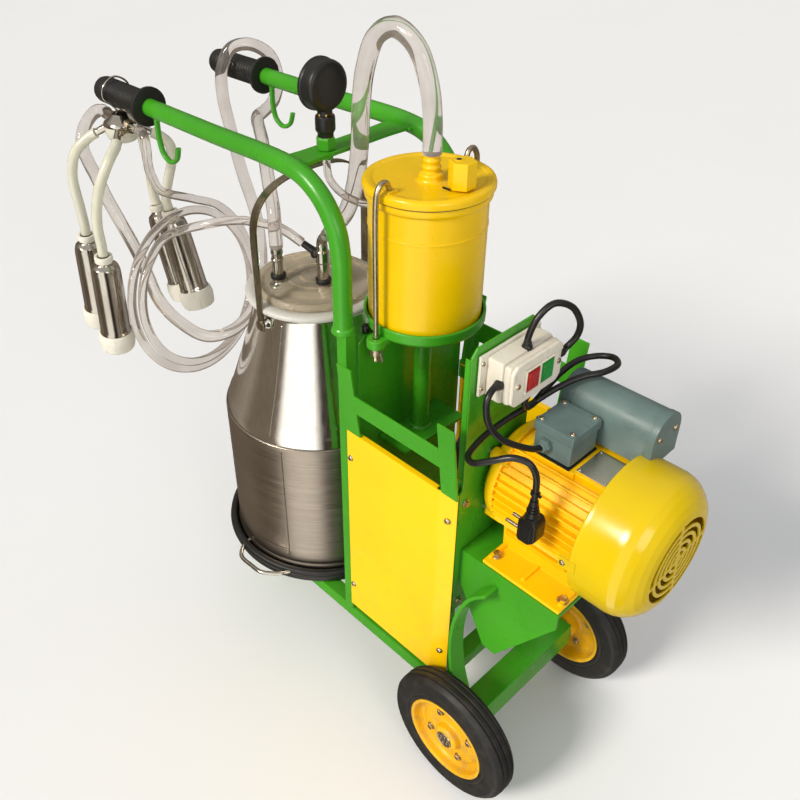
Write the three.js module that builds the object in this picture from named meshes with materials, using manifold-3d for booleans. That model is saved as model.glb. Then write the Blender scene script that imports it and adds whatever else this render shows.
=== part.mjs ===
// A trolley-mounted bucket milking machine: welded frame on two wheels, motor and vacuum pump,
// vacuum tank, stainless bucket, pulsation and milk hoses, and a claw with four teat cups.
// Millimetres. +Z is up, +X points to the motor and wheels, -X to the handle grips, Y is the axle.
import * as THREE from "three";
import { mergeVertices } from "three/addons/utils/BufferGeometryUtils.js";
import Module from "manifold-3d";

const wasm = await Module();
wasm.setup();

// ---- driving dimensions -------------------------------------------------------------------
const GAP = 0.3; // clearance between touching pieces
const ORIGIN = [-118.2, -30, 0]; // middle of the footprint, measured from the tank's axis
const HALF_WIDTH = 115; // side panels' inner faces
const RAIL_BOTTOM = 112;
const RAIL_TOP = 135;
const PANEL_BOTTOM = 155;
const PANEL_TOP = 505;
const BOX_REAR = -46;
const BOX_FRONT = 157;
const RAIL_END = -345;

const WHEEL_RADIUS = 100;
const WHEEL_X = 208;
const WHEEL_Y = 140;
const TYRE_WIDTH = 40;
const RIM_RADIUS = 64.5;
const AXLE_RADIUS = 10;

const TUBE_RADIUS = 12.5; // handle tube
const HANDLE_Y = 105;
const HANDLE_Z = 845;
const HANDLE_X = -42; // upright stretch of the handle tube
const HANDLE_BEND = 95;
const HANDLE_FOOT = 650;
const GRIP_START = -442;
const GRIP_END = -570;

const TANK_RADIUS = 73;
const TANK_BOTTOM = 648.3;
const TANK_TOP = 827;
const LID_RADIUS = 80;
const LID_TOP = 839;
const HOOK_Y = 88; // lid clamp rods

const BUCKET_X = -221;
const BUCKET_RADIUS = 152;
const BUCKET_BOTTOM = 147.6;
const SHOULDER_Z = 405;
const NECK_Z = 590;
const NECK_RADIUS = 92;
const TRAY_RADIUS = 168;
const BAIL_REACH = 103.5;
const BAIL_Z = 578; // hinge of the carrying bail

const MOTOR_Z = 493; // shaft line
const PLATFORM_TOP = 400;
const STATOR_RADIUS = 74;
const COWL_RADIUS = 94;
const SHAFT_RADIUS = 12;
const PUMP_RADIUS = 46;

const GAUGE = [-137, -40, 925];
const GAUGE_RADIUS = 31;

const ROUND = 24; // segments of a large round piece
const SMALL_ROUND = 14;

// ---- materials ----------------------------------------------------------------------------
const paint = (color) => new THREE.MeshStandardMaterial({ color, roughness: 0.4, metalness: 0 });
const metal = (color, roughness) =>
  new THREE.MeshStandardMaterial({ color, roughness, metalness: 1 });
const MATERIALS = {
  green: paint(0x55b234),
  yellow: paint(0xf2c80c),
  motor: paint(0xffcc00),
  grey: paint(0x64766f),
  cream: paint(0xe9e2cc),
  red: paint(0xc01818),
  button: paint(0x128c20),
  rubber: new THREE.MeshStandardMaterial({ color: 0x141414, roughness: 0.8 }),
  liner: new THREE.MeshStandardMaterial({ color: 0xe6dfce, roughness: 0.5 }),
  hose: new THREE.MeshStandardMaterial({ color: 0xd8d2c4, roughness: 0.2 }),
  steel: metal(0xc9c9c6, 0.2),
  zinc: metal(0xb8b4aa, 0.4),
  iron: metal(0x3c3c3c, 0.6),
};

// ---- solids -------------------------------------------------------------------------------
function solid(geometry) {
  const bare = geometry.index ? geometry.toNonIndexed() : geometry.clone();
  bare.deleteAttribute("normal");
  bare.deleteAttribute("uv");
  const merged = mergeVertices(bare, 1e-3);
  const mesh = new wasm.Mesh({
    numProp: 3,
    vertProperties: merged.attributes.position.array,
    triVerts: new Uint32Array(merged.index.array),
  });
  return new wasm.Manifold(mesh);
}

function geometryOf(body) {
  const mesh = body.getMesh();
  return new THREE.BufferGeometry()
    .setAttribute("position", new THREE.BufferAttribute(new Float32Array(mesh.vertProperties), 3))
    .setIndex(new THREE.BufferAttribute(new Uint32Array(mesh.triVerts), 1));
}

const join = (...bodies) => bodies.reduce((all, body) => all.add(body));
const cut = (body, ...tools) => tools.reduce((left, tool) => left.subtract(tool), body);

// A box from its lowest to its highest corner.
function box(x0, y0, z0, x1, y1, z1) {
  const g = new THREE.BoxGeometry(x1 - x0, y1 - y0, z1 - z0);
  return solid(g.translate((x0 + x1) / 2, (y0 + y1) / 2, (z0 + z1) / 2));
}

// A cylinder or cone from one point of its axis to another.
function rod(from, to, radius, segments = SMALL_ROUND, endRadius = radius) {
  const a = new THREE.Vector3(...from);
  const along = new THREE.Vector3(...to).sub(a);
  const g = new THREE.CylinderGeometry(endRadius, radius, along.length(), segments);
  g.translate(0, along.length() / 2, 0);
  const up = new THREE.Vector3(0, 1, 0);
  g.applyQuaternion(new THREE.Quaternion().setFromUnitVectors(up, along.clone().normalize()));
  return solid(g.translate(a.x, a.y, a.z));
}

// A turned piece: [radius, height] points, spun about an axis through place.
function turned(profile, place, axis = "z", segments = ROUND) {
  const g = new THREE.LatheGeometry(profile.map(([r, h]) => new THREE.Vector2(r, h)), segments);
  if (axis === "z") g.rotateX(Math.PI / 2);
  if (axis === "x") g.rotateZ(-Math.PI / 2);
  const body = solid(g.translate(...place));
  return body;
}

// A tube of round section along a smooth curve through points.
function tube(points, radius, sides = 8, spacing = 3, tension = 0.5) {
  const knots = points.map((p) => new THREE.Vector3(...p));
  const curve = new THREE.CatmullRomCurve3(knots, false, "centripetal", tension);
  const steps = Math.min(80, Math.max(6, Math.round(curve.getLength() / (2 * radius * spacing))));
  const section = new THREE.Shape();
  section.absarc(0, 0, radius, 0, 2 * Math.PI);
  const g = new THREE.ExtrudeGeometry(section, {
    steps,
    curveSegments: sides / 2,
    bevelEnabled: false,
    extrudePath: curve,
  });
  return solid(g);
}

// A flat outline pushed along its normal. plane "xz": outline in X and Z, thickness in Y.
function plate(outline, plane, start, thickness) {
  const shape = new THREE.Shape(outline.map(([u, v]) => new THREE.Vector2(u, v)));
  const g = new THREE.ExtrudeGeometry(shape, { depth: thickness, bevelEnabled: false });
  if (plane === "xz") g.rotateX(Math.PI / 2).translate(0, start + thickness, 0);
  if (plane === "yz") g.rotateX(Math.PI / 2).rotateZ(Math.PI / 2).translate(start, 0, 0);
  if (plane === "xy") g.translate(0, 0, start);
  return solid(g);
}

// The outline of a strip of even thickness along the middle line.
function strip(middle, thickness) {
  const left = [];
  const right = [];
  middle.forEach(([u, v], i) => {
    const [au, av] = middle[Math.max(0, i - 1)];
    const [bu, bv] = middle[Math.min(middle.length - 1, i + 1)];
    const length = Math.hypot(bu - au, bv - av);
    const side = [(-(bv - av) / length) * (thickness / 2), ((bu - au) / length) * (thickness / 2)];
    left.push([u + side[0], v + side[1]]);
    right.unshift([u - side[0], v - side[1]]);
  });
  return [...left, ...right];
}

const root = new THREE.Group();
root.position.set(-ORIGIN[0], -ORIGIN[1], -ORIGIN[2]);

function add(name, body, material) {
  const mesh = new THREE.Mesh(geometryOf(body), MATERIALS[material]);
  mesh.name = name;
  root.add(mesh);
}

const SIDES = [
  ["near", -1],
  ["far", 1],
];
const mirror = (side, y) => side * y;

// A box given for the +Y side, placed on the side asked for.
function sideBox(side, x0, y0, z0, x1, y1, z1) {
  return side > 0 ? box(x0, y0, z0, x1, y1, z1) : box(x0, -y1, z0, x1, -y0, z1);
}

// ---- welded frame -------------------------------------------------------------------------
function chassis() {
  const parts = [];
  for (const [, side] of SIDES) {
    parts.push(sideBox(side, RAIL_END, 87, RAIL_BOTTOM, BOX_FRONT - 1, 112, RAIL_TOP));
    parts.push(sideBox(side, BOX_REAR, 96, RAIL_TOP - 1, BOX_REAR + 18, 114, HANDLE_FOOT - GAP));
    parts.push(sideBox(side, 137, 84, RAIL_TOP - 1, 153, 102, PANEL_TOP));
  }
  parts.push(box(RAIL_END, -88, RAIL_BOTTOM, RAIL_END + 25, 88, RAIL_TOP));
  parts.push(box(130, -88, RAIL_BOTTOM, BOX_FRONT - 1, 88, RAIL_TOP));
  parts.push(box(BOX_REAR, -88, RAIL_BOTTOM, BOX_REAR + 25, 88, RAIL_TOP));
  return join(...parts);
}

function standLeg() {
  const x = -270;
  const y = 80;
  const foot = 9;
  const top = RAIL_BOTTOM - GAP;
  const leg = (side) => rod([x, side * y, foot], [x, side * y, top], foot);
  const cross = box(x - foot, -y - foot, top - 4, x + foot, y + foot, top);
  const ears = box(x - 12, -108, top - 4, x + 12, 108, top);
  return join(leg(-1), leg(1), cross, ears, rod([x, -y - foot, foot], [x, y + foot, foot], foot));
}

function handleFrame() {
  const parts = [];
  const centre = [HANDLE_X - HANDLE_BEND, HANDLE_Z - HANDLE_BEND];
  const bend = [0, 22.5, 45, 67.5, 90].map((degrees) => {
    const a = THREE.MathUtils.degToRad(degrees);
    return [centre[0] + HANDLE_BEND * Math.cos(a), centre[1] + HANDLE_BEND * Math.sin(a)];
  });
  for (const [, side] of SIDES) {
    const y = mirror(side, HANDLE_Y);
    const line = [[HANDLE_X, HANDLE_FOOT], [HANDLE_X, 700], ...bend];
    line.push([-300, HANDLE_Z + 0.5], [GRIP_START - 60, HANDLE_Z + 1.5], [GRIP_END + 6, HANDLE_Z + 2]);
    parts.push(tube(line.map(([x, z]) => [x, y, z]), TUBE_RADIUS, 12, 1.6));
    parts.push(hook(y));
  }
  const plateTop = HANDLE_Z + 1;
  parts.push(box(-160, -HANDLE_Y + 6, plateTop - 5, -118, HANDLE_Y - 6, plateTop));
  return join(...parts);
}

// A bent rod hook welded under the handle tube, just ahead of the grip.
function hook(y) {
  const x = GRIP_START + 14;
  const line = [
    [x, y, HANDLE_Z - 6],
    [x, y, HANDLE_Z - 45],
    [x + 6, y, HANDLE_Z - 62],
    [x + 22, y, HANDLE_Z - 70],
    [x + 40, y, HANDLE_Z - 62],
    [x + 48, y, HANDLE_Z - 44],
  ];
  return tube(line, 4, 8, 2);
}

function grip(y) {
  const z = HANDLE_Z + 1.5;
  const bore = 14.5;
  const profile = [
    [bore, 0],
    [28, 0],
    [28, 7],
    [18.5, 9],
    [19.5, 112],
    [17, 126],
    [bore, 126],
    [bore, 0],
  ];
  const body = turned(profile.map(([r, h]) => [r, -h]).reverse(), [GRIP_START, y, z], "x", 20);
  return body;
}

function sidePanel(side) {
  const inner = HALF_WIDTH + GAP;
  const outline = [
    [-27, inner],
    [-27, inner + 2],
    [139, inner + 2],
    [163, inner - 7],
    [162, inner - 9],
    [138, inner],
  ].map(([x, y]) => [x, mirror(side, y)]);
  if (side < 0) outline.reverse();
  return plate(outline, "xy", PANEL_BOTTOM, PANEL_TOP - PANEL_BOTTOM);
}

function hBracket(side) {
  const left = [-27, -1];
  const right = [143, 169];
  const low = 1;
  const barLow = 44;
  const barTop = 74;
  const top = 116;
  const outline = [
    [left[0], low], [left[1], low], [left[1], barLow], [right[0], barLow],
    [right[0], low], [right[1], low], [right[1], top], [right[0], top],
    [right[0], barTop], [left[1], barTop], [left[1], top], [left[0], top],
  ];
  const shape = new THREE.Shape(outline.map(([u, v]) => new THREE.Vector2(u, v)));
  const g = new THREE.ExtrudeGeometry(shape, { depth: 3, bevelEnabled: false });
  const lean = THREE.MathUtils.degToRad(7);
  g.rotateX(Math.PI / 2).translate(0, 3, 0);
  if (side < 0) g.translate(0, -3, 0);
  g.rotateX(side * lean).translate(0, mirror(side, HALF_WIDTH), PANEL_TOP);
  return solid(g);
}

function frontWall() {
  const outline = [
    [-102, 284], [102, 284], [102, 500], [22, 545], [22, 700], [12, 710],
    [-88, 710], [-97, 700], [-97, 504], [-102, 500],
  ];
  const wall = plate(outline, "yz", BOX_FRONT, 3);
  return cut(wall, rod([150, 0, MOTOR_Z], [165, 0, MOTOR_Z], 20));
}

function rearWall() {
  return box(BOX_REAR + 19, -94, 136, BOX_REAR + 21, 94, 640);
}

// ---- running gear -------------------------------------------------------------------------
function motorPlatform() {
  const top = PLATFORM_TOP;
  const start = BOX_FRONT + 3 + GAP;
  const parts = [box(start, -92, top - 6, 311, 92, top)];
  const gusset = [
    [start, top - 5], [start, 345], [208, 252], [229, 250], [311, 376], [311, top - 5],
  ];
  parts.push(plate(gusset, "xz", -92, 4));
  parts.push(plate(gusset, "xz", 88, 4));
  const curve = [
    [222, 380], [200, 356], [184, 322], [174, 276], [173, 226], [180, 176], [196, 122],
  ];
  parts.push(plate(strip(curve, 5), "xz", -117, 27));
  parts.push(plate(strip(curve, 5), "xz", 90, 27));
  parts.push(box(189, -117, 82, 227, 117, 126));
  return cut(join(...parts), rod([WHEEL_X, -130, 100], [WHEEL_X, 130, 100], AXLE_RADIUS + GAP));
}

function axle() {
  return rod([WHEEL_X, -162, WHEEL_RADIUS], [WHEEL_X, 162, WHEEL_RADIUS], AXLE_RADIUS);
}

function rim(y, side) {
  const bore = AXLE_RADIUS + GAP;
  const profile = [
    [bore, -19], [20, -19], [20, -2], [56, -2], [59, -18], [RIM_RADIUS, -18],
    [RIM_RADIUS, 18], [60, 18], [57, 4], [20, 4], [20, 19], [bore, 19], [bore, -19],
  ];
  const facing = side < 0 ? profile.map(([r, h]) => [r, -h]).reverse() : profile;
  return turned(facing, [WHEEL_X, y, WHEEL_RADIUS], "y", 24);
}

function tyre(y) {
  const half = TYRE_WIDTH / 2;
  const inner = RIM_RADIUS + GAP;
  const profile = [
    [inner, -half + 3], [72, -half], [90, -half], [100, -half + 10], [100, half - 10],
    [90, half], [72, half], [inner, half - 3], [inner, -half + 3],
  ];
  return turned(profile, [WHEEL_X, y, WHEEL_RADIUS], "y", 24);
}

// ---- vacuum tank --------------------------------------------------------------------------
function tankSupport() {
  const top = TANK_BOTTOM - GAP;
  const cup = [
    [0, top - 6], [79, top - 6], [79, top + 14], [75.5, top + 14], [75.5, top], [0, top],
  ];
  const parts = [turned(cup, [0, 0, 0])];
  parts.push(rod([0, 0, 462], [0, 0, top - 3], 12), box(-24.7, -60, 459, 30, 60, 465));
  for (const [, side] of SIDES) {
    parts.push(sideBox(side, -12, 76, top - 6, 12, HOOK_Y + 10, top));
  }
  const holes = SIDES.map(([, side]) =>
    rod([0, side * HOOK_Y, top - 20], [0, side * HOOK_Y, top + 20], 4.2),
  );
  return cut(join(...parts), ...holes);
}

function tankBody() {
  const profile = [
    [0, TANK_BOTTOM], [TANK_RADIUS, TANK_BOTTOM], [TANK_RADIUS, 818], [77, 818],
    [77, TANK_TOP], [69, TANK_TOP], [69, TANK_BOTTOM + 3], [0, TANK_BOTTOM + 3],
  ];
  return turned(profile, [0, 0, 0]);
}

function tankLid() {
  const bottom = TANK_TOP + GAP;
  const profile = [[0, bottom], [LID_RADIUS, bottom], [LID_RADIUS, LID_TOP - 2], [78, LID_TOP]];
  profile.push([0, LID_TOP]);
  const spout = turned(
    [[0, LID_TOP - 1], [15, LID_TOP - 1], [15, LID_TOP + 7], [9.6, LID_TOP + 9], [9.6, 868], [0, 868]],
    [8, -5, 0],
    "z",
    16,
  );
  return join(turned(profile, [0, 0, 0]), spout);
}

function vacuumRegulator() {
  const x = 52;
  const base = LID_TOP + GAP;
  const block = box(x - 15, -17, base, x + 15, 13, base + 34);
  return join(block, rod([x, -2, base + 33], [x, -2, base + 44], 11, 6));
}

// A rod with a hook over the lid at the top and a thread below its lug.
function clampRod(side) {
  const y = side * HOOK_Y;
  const tip = side * 66;
  const line = [
    [0, y, 616], [0, y, 660], [0, y, 760], [0, y, 830], [0, y, 846], [0, y - side * 3, 851],
    [0, (y + tip) / 2, 855], [0, tip + side * 3, 851], [0, tip, LID_TOP + 4], [0, tip, LID_TOP + GAP],
  ];
  return tube(line, 3.6, 8, 1.6);
}

// ---- bucket -------------------------------------------------------------------------------
function bucketTray() {
  const z = RAIL_TOP + GAP;
  const profile = [
    [0, z], [TRAY_RADIUS - 4, z], [TRAY_RADIUS, z + 4], [TRAY_RADIUS, z + 24],
    [TRAY_RADIUS - 8, z + 27], [156, z + 22], [156, z + 12], [0, z + 12],
  ];
  return turned(profile, [BUCKET_X, 0, 0]);
}

function bucketBody() {
  const z = BUCKET_BOTTOM;
  const wall = 3;
  const r = BUCKET_RADIUS;
  const profile = [
    [0, z], [r - 8, z], [r, z + 8], [r, SHOULDER_Z], [r - 4, SHOULDER_Z + 14],
    [NECK_RADIUS, NECK_Z], [NECK_RADIUS + 5, NECK_Z + 2], [NECK_RADIUS + 5, NECK_Z + 7],
    [NECK_RADIUS - wall, NECK_Z + 7], [NECK_RADIUS - wall, NECK_Z],
    [r - 4 - wall, SHOULDER_Z + 13], [r - wall, SHOULDER_Z - 1], [r - wall, z + 9],
    [r - 9, z + wall], [0, z + wall],
  ];
  const ears = rod(
    [BUCKET_X, -BAIL_REACH + 4, BAIL_Z], [BUCKET_X, BAIL_REACH - 4, BAIL_Z], 7, 10,
  );
  const inside = rod([BUCKET_X, 0, z + 10], [BUCKET_X, 0, NECK_Z], NECK_RADIUS - wall, 28);
  return join(turned(profile, [BUCKET_X, 0, 0], "z", 28), cut(ears, inside));
}

function bucketGasket() {
  const z = NECK_Z + 7 + GAP;
  return turned(
    [[84, z], [96, z], [98, z + 4], [96, z + 9], [84, z + 9], [84, z]],
    [BUCKET_X, 0, 0],
  );
}

function bucketLid() {
  const z = NECK_Z + 16 + 2 * GAP;
  const profile = [[0, z], [88, z], [88, z + 6], [70, z + 8], [64, z + 28], [50, z + 34], [0, z + 36]];
  const holes = [milkSpout(2), vacuumSpout(2)];
  return cut(turned(profile, [BUCKET_X, 0, 0]), ...holes);
}

const MILK_SPOUT = [-249, -45];
const VACUUM_SPOUT = [-191, -8];

function milkSpout(clearance = 0) {
  const [x, y] = MILK_SPOUT;
  return rod([x, y, 600 - clearance], [x, y, 672], 8 + clearance * 0.15);
}

function vacuumSpout(clearance = 0) {
  const [x, y] = VACUUM_SPOUT;
  return rod([x, y, 600 - clearance], [x, y, 690], 8 + clearance * 0.15);
}

function vacuumTee() {
  const [x, y] = VACUUM_SPOUT;
  return join(vacuumSpout(), rod([x, y, 684], [x + 14, y, 702], 8), pulseBarb(x, y));
}

// The side outlet for the pulsation tubes.
function pulseBarb(x, y) {
  return rod([x, y, 664], [x - 26, y - 14, 682], 5, 10);
}

function bailHandle() {
  const reach = BAIL_REACH;
  const line = [
    [BUCKET_X, -reach, BAIL_Z - 6], [BUCKET_X, -reach, 640], [BUCKET_X, -reach, 720],
    [BUCKET_X, -reach + 14, 762], [BUCKET_X, -reach + 46, 782], [BUCKET_X, 0, 788],
    [BUCKET_X, reach - 46, 782], [BUCKET_X, reach - 14, 762], [BUCKET_X, reach, 720],
    [BUCKET_X, reach, 640], [BUCKET_X, reach, BAIL_Z - 6],
  ];
  return tube(line, 3.5, 8, 3);
}

// ---- motor and pump -----------------------------------------------------------------------
function ring(x0, x1, inner, outer, segments = ROUND) {
  const profile = [[inner, x0], [outer, x0], [outer, x1], [inner, x1], [inner, x0]];
  return turned(profile, [0, 0, MOTOR_Z], "x", segments);
}

function motorStator() {
  const bore = rod([180, 0, MOTOR_Z], [300, 0, MOTOR_Z], 45, 20);
  const shaft = rod([290, 0, MOTOR_Z], [320, 0, MOTOR_Z], SHAFT_RADIUS + 1);
  const foot = PLATFORM_TOP + GAP;
  const parts = [rod([185, 0, MOTOR_Z], [311, 0, MOTOR_Z], STATOR_RADIUS, ROUND)];
  parts.push(box(200, -52, foot, 290, 52, 440));
  parts.push(box(194, -90, foot, 310, 90, foot + 9));
  return cut(join(...parts), bore, shaft);
}

function terminalBox() {
  const z = 561;
  const body = box(206, -34, z, 262, 24, z + 48);
  return cut(body, rod([150, 0, MOTOR_Z], [320, 0, MOTOR_Z], STATOR_RADIUS + GAP, ROUND));
}

function capacitorBox() {
  const radius = 29;
  const outline = [[26, 566]];
  for (let step = 0; step <= 8; step++) {
    const a = Math.PI * (1 - step / 8);
    outline.push([55 + radius * Math.cos(a), 603 + radius * Math.sin(a)]);
  }
  outline.push([84, 566]);
  const body = plate(outline, "yz", 198, 128);
  return cut(body, rod([150, 0, MOTOR_Z], [400, 0, MOTOR_Z], COWL_RADIUS + GAP, ROUND));
}

function fanCowl() {
  const r = COWL_RADIUS;
  const wall = 2.5;
  const profile = [
    [r, 312], [r, 366], [r - 7, 382], [r - 22, 391], [r - 34, 393], [0, 394],
    [0, 391], [r - 35, 390], [r - 24, 388.5], [r - 9.5, 380.5], [r - wall, 365], [r - wall, 312],
    [r, 312],
  ];
  const shell = turned(profile, [0, 0, MOTOR_Z], "x");
  return cut(shell, ...grilleSlots(380, 400, [[16, 32], [38, 54]]));
}

// Quarter-ring slots with four spokes between them.
function grilleSlots(x0, x1, radii) {
  const slots = [];
  for (const [inner, outer] of radii) {
    for (let quarter = 0; quarter < 4; quarter++) {
      const start = quarter * (Math.PI / 2) + 0.22;
      const end = (quarter + 1) * (Math.PI / 2) - 0.22;
      const shape = new THREE.Shape();
      shape.absarc(0, 0, outer, start, end, false);
      shape.absarc(0, 0, inner, end, start, true);
      const g = new THREE.ExtrudeGeometry(shape, {
        depth: x1 - x0,
        bevelEnabled: false,
        curveSegments: 2,
      });
      slots.push(solid(g.rotateY(Math.PI / 2).translate(x0, 0, MOTOR_Z)));
    }
  }
  return slots;
}

function motorRotor() {
  const axis = (x) => [x, 0, MOTOR_Z];
  const parts = [rod(axis(150.3), axis(352), SHAFT_RADIUS), rod(axis(196), axis(292), 44, 20)];
  parts.push(rod(axis(318), axis(348), 22, 16));
  for (let blade = 0; blade < 5; blade++) {
    const g = new THREE.BoxGeometry(26, 60, 3);
    g.translate(333, 50, 0).rotateX((blade * 2 * Math.PI) / 5);
    parts.push(solid(g.translate(0, 0, MOTOR_Z)));
  }
  return join(...parts);
}

function pumpBody() {
  const axis = (x) => [x, 0, MOTOR_Z];
  const shell = rod(axis(98), axis(BOX_FRONT - GAP), PUMP_RADIUS, 24);
  const bore = rod(axis(104), axis(140), 38, 20);
  return cut(shell, bore, rod(axis(130), axis(170), 16));
}

function pumpRotor() {
  const axis = (x) => [x, 0, MOTOR_Z];
  const parts = [rod(axis(106), axis(138), 26, 16), rod(axis(130), axis(150), SHAFT_RADIUS)];
  for (let vane = 0; vane < 4; vane++) {
    const g = new THREE.BoxGeometry(30, 35, 4);
    g.translate(122, 17.5, 0).rotateX((vane * Math.PI) / 2 + 0.4);
    parts.push(solid(g.translate(0, 0, MOTOR_Z)));
  }
  return join(...parts);
}

// ---- switch box and gauge -----------------------------------------------------------------
const SWITCH = { x: 161, y0: -78, y1: 14, z0: 641, z1: 697, depth: 42 };
const BUTTONS = [
  ["red_stop_button", -44.5, "red"],
  ["green_start_button", -18.5, "button"],
];

function switchBox() {
  const { x, y0, y1, z0, z1, depth } = SWITCH;
  const flange = box(x, y0 - 10, z0 + 4, x + 4, y1 + 6, z1 + 4);
  const body = join(flange, box(x + 3, y0, z0, x + depth, y1, z1));
  const wells = BUTTONS.map(([, y]) => box(x + depth - 14, y - 12.2, 656, x + 50, y + 12.2, 685));
  return cut(body, ...wells);
}

function pushButton(y) {
  const face = SWITCH.x + SWITCH.depth;
  return box(face - 7, y - 11.5, 656.7, face + 4, y + 11.5, 684.3);
}

function gaugeBody() {
  const [x, y, z] = GAUGE;
  const r = GAUGE_RADIUS;
  const profile = [
    [0, 12], [r - 4, 12], [r, 9], [r, -10], [r - 3, -12], [r - 4, -12], [r - 4, -4], [0, -4],
  ];
  const dial = turned(profile.reverse(), [x, y, z], "x", 24);
  const stem = rod([x, y, z - r + 4], [x, y, z - r - 8], 10, 10);
  const valve = rod([x, y, z - r - 7], [x, y, HANDLE_Z + 1 + GAP], 12, 12);
  return join(dial, stem, valve);
}

function gaugeNeedle() {
  const [x, y, z] = GAUGE;
  const hub = rod([x - 4 - GAP, y, z], [x - 7, y, z], 3, 10);
  const bar = new THREE.BoxGeometry(1.3, 2.4, 26).translate(0, 0, 6.5);
  bar.rotateX(THREE.MathUtils.degToRad(-135)).translate(x - 5.8, y, z);
  return join(hub, solid(bar));
}

// ---- claw and teat cups -------------------------------------------------------------------
const CLAW = [-527, -108, 802];

function claw() {
  const [x, y, z] = CLAW;
  const profile = [[0, -26], [16, -26], [27, -14], [27, 6], [18, 16], [9, 20], [0, 20]];
  const parts = [turned(profile, [x, y, z], "z", 20)];
  parts.push(rod([x + 14, y, z + 4], [x + 46, y - 4, z + 6], 6, 10));
  parts.push(rod([x - 14, y, z + 6], [x - 44, y, z + 8], 8, 12));
  for (const [dx, dy] of NIPPLES) {
    parts.push(rod([x + 12 * dx, y + 12 * dy, z], [x + 30 * dx, y + 30 * dy, z - 12], 6, 10));
  }
  return join(...parts);
}

// Each cup hangs mouth down: [top of shell], [mouth].
const CUPS = [
  [[-590, -174, 622], [-600, -174, 478]],
  [[-490, -198, 628], [-500, -198, 484]],
  [[-536, -46, 640], [-500, -40, 500]],
  [[-596, -34, 628], [-560, -28, 488]],
];

function teatCup([top, mouth]) {
  const a = new THREE.Vector3(...top);
  const down = new THREE.Vector3(...mouth).sub(a);
  const along = down.length();
  const profile = [
    [0, 0], [9, 0], [12, -14], [20, -20], [22.5, -34], [24, -along + 2], [28, -along],
    [30, -along - 8], [28, -along - 26], [14, -along - 32], [12, -along - 4], [0, -along + 6],
  ];
  const points = profile.map(([r, h]) => new THREE.Vector2(r, h)).reverse();
  const g = new THREE.LatheGeometry(points, 18);
  const straight = new THREE.Vector3(0, -1, 0);
  g.applyQuaternion(new THREE.Quaternion().setFromUnitVectors(straight, down.normalize()));
  return solid(g.translate(a.x, a.y, a.z));
}

// ---- hoses and cables ---------------------------------------------------------------------
const MILK_HOSE = [
  [-572, -108, 810.1], [-582, -108, 811], [-596, -112, 808], [-608, -121, 796],
  [-612, -134, 776], [-604, -143, 756], [-584, -148, 740], [-556, -153, 724],
  [-529, -156, 700], [-513, -150, 666], [-489, -142, 617], [-469, -140, 579],
  [-448, -138, 539], [-417, -125, 507], [-385, -98, 482], [-372, -51, 481], [-383, 4, 503],
  [-411, 43, 550], [-446, 66, 620], [-478, 68, 690], [-496, 66, 760], [-502, 62, 812],
  [-508, 69, 850], [-502, 86, 881], [-486, 112, 885], [-472, 138, 866], [-463, 144, 832],
  [-458, 130, 800], [-448, 100, 790], [-430, 74, 792], [-363, 30, 780], [-300, -12, 752],
  [-258, -38, 722], [-249, -45, 696], [-249, -45, 684], [-249, -45, 672.4],
];

// Twin pulsation tubes: out of the barb, round and round beside the bucket, and up to the claw.
const COIL = { x: -428, y: -74, z: 541, inner: 113, outer: 141, from: 110, to: 795, turned: 100 };

function pulseHosePoints() {
  const points = [
    [-217.4, -22.2, 682.3], [-224, -25.8, 687], [-256, -28, 693], [-310, -30, 686],
    [-358, -38, 676], [-404, -60, 662],
  ];
  const heading = THREE.MathUtils.degToRad(COIL.turned);
  for (let degrees = COIL.from; degrees <= COIL.to; degrees += 22) {
    const share = (degrees - COIL.from) / (COIL.to - COIL.from);
    const radius = THREE.MathUtils.lerp(COIL.inner, COIL.outer, share);
    const a = THREE.MathUtils.degToRad(degrees);
    const across = radius * Math.cos(a);
    const up = radius * Math.sin(a);
    const x = COIL.x + across * Math.cos(heading) - 0.2 * up - 16 * share;
    points.push([x, COIL.y + across * Math.sin(heading), COIL.z + 0.98 * up]);
  }
  points.push([-478, -88, 704], [-466, -106, 736], [-450, -118, 764], [-440, -122, 788]);
  points.push([-446, -119, 806], [-461, -115, 810.5], [-480.4, -112, 808.1]);
  return points;
}

const VACUUM_HOSE = [
  [8, -5, 868.4], [8, -5, 880], [8, -6, 910], [4, -10, 950], [-12, -14, 986], [-42, -17, 1002],
  [-70, -18, 988], [-88, -18, 950], [-97, -17, 905], [-103, -15, 850], [-116, -12, 795],
  [-138, -10, 748], [-158, -9, 726], [-169.3, -8.1, 712], [-176.6, -8, 702.5],
];

const GAUGE_HOSE = [
  [-137, -40, 840.6], [-137, -40, 832], [-134, -39, 808], [-116, -34, 791], [-92, -28, 785],
  [-72.6, -22, 785],
];

const POWER_CABLE = [
  [196, -42, 640.6], [196, -41.6, 631], [194, -34, 619], [191, -16, 613], [188, 8, 617],
  [187, 40, 627], [191, 72, 633], [204, 92, 636], [222, 97, 640], [236, 84, 643],
  [234, 60, 643], [219, 36, 640], [203, 12, 628], [187, -18, 609], [177, -56, 598],
  [174, -90, 590], [180, -118, 586], [196, -128, 592], [216, -122, 604], [236, -111, 614],
  [252, -103, 611], [260, -99.5, 597], [262, -99, 580], [262, -99, 562],
];

const MOTOR_CABLE = [
  [184, -78.6, 668], [184, -87, 667.6], [185, -97, 661], [188, -102, 646], [194, -101, 628],
  [204, -90, 609], [216, -70, 594], [225, -50, 584], [226, -35, 582],
];

const SWITCH_CABLE = [
  [183, -30, 697.6], [183, -30, 708], [186, -20, 732], [193, -2, 745], [204, 16, 738],
  [210, 29, 714], [206, 32, 692], [200, 25, 679], [200, 14.7, 678],
];

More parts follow.
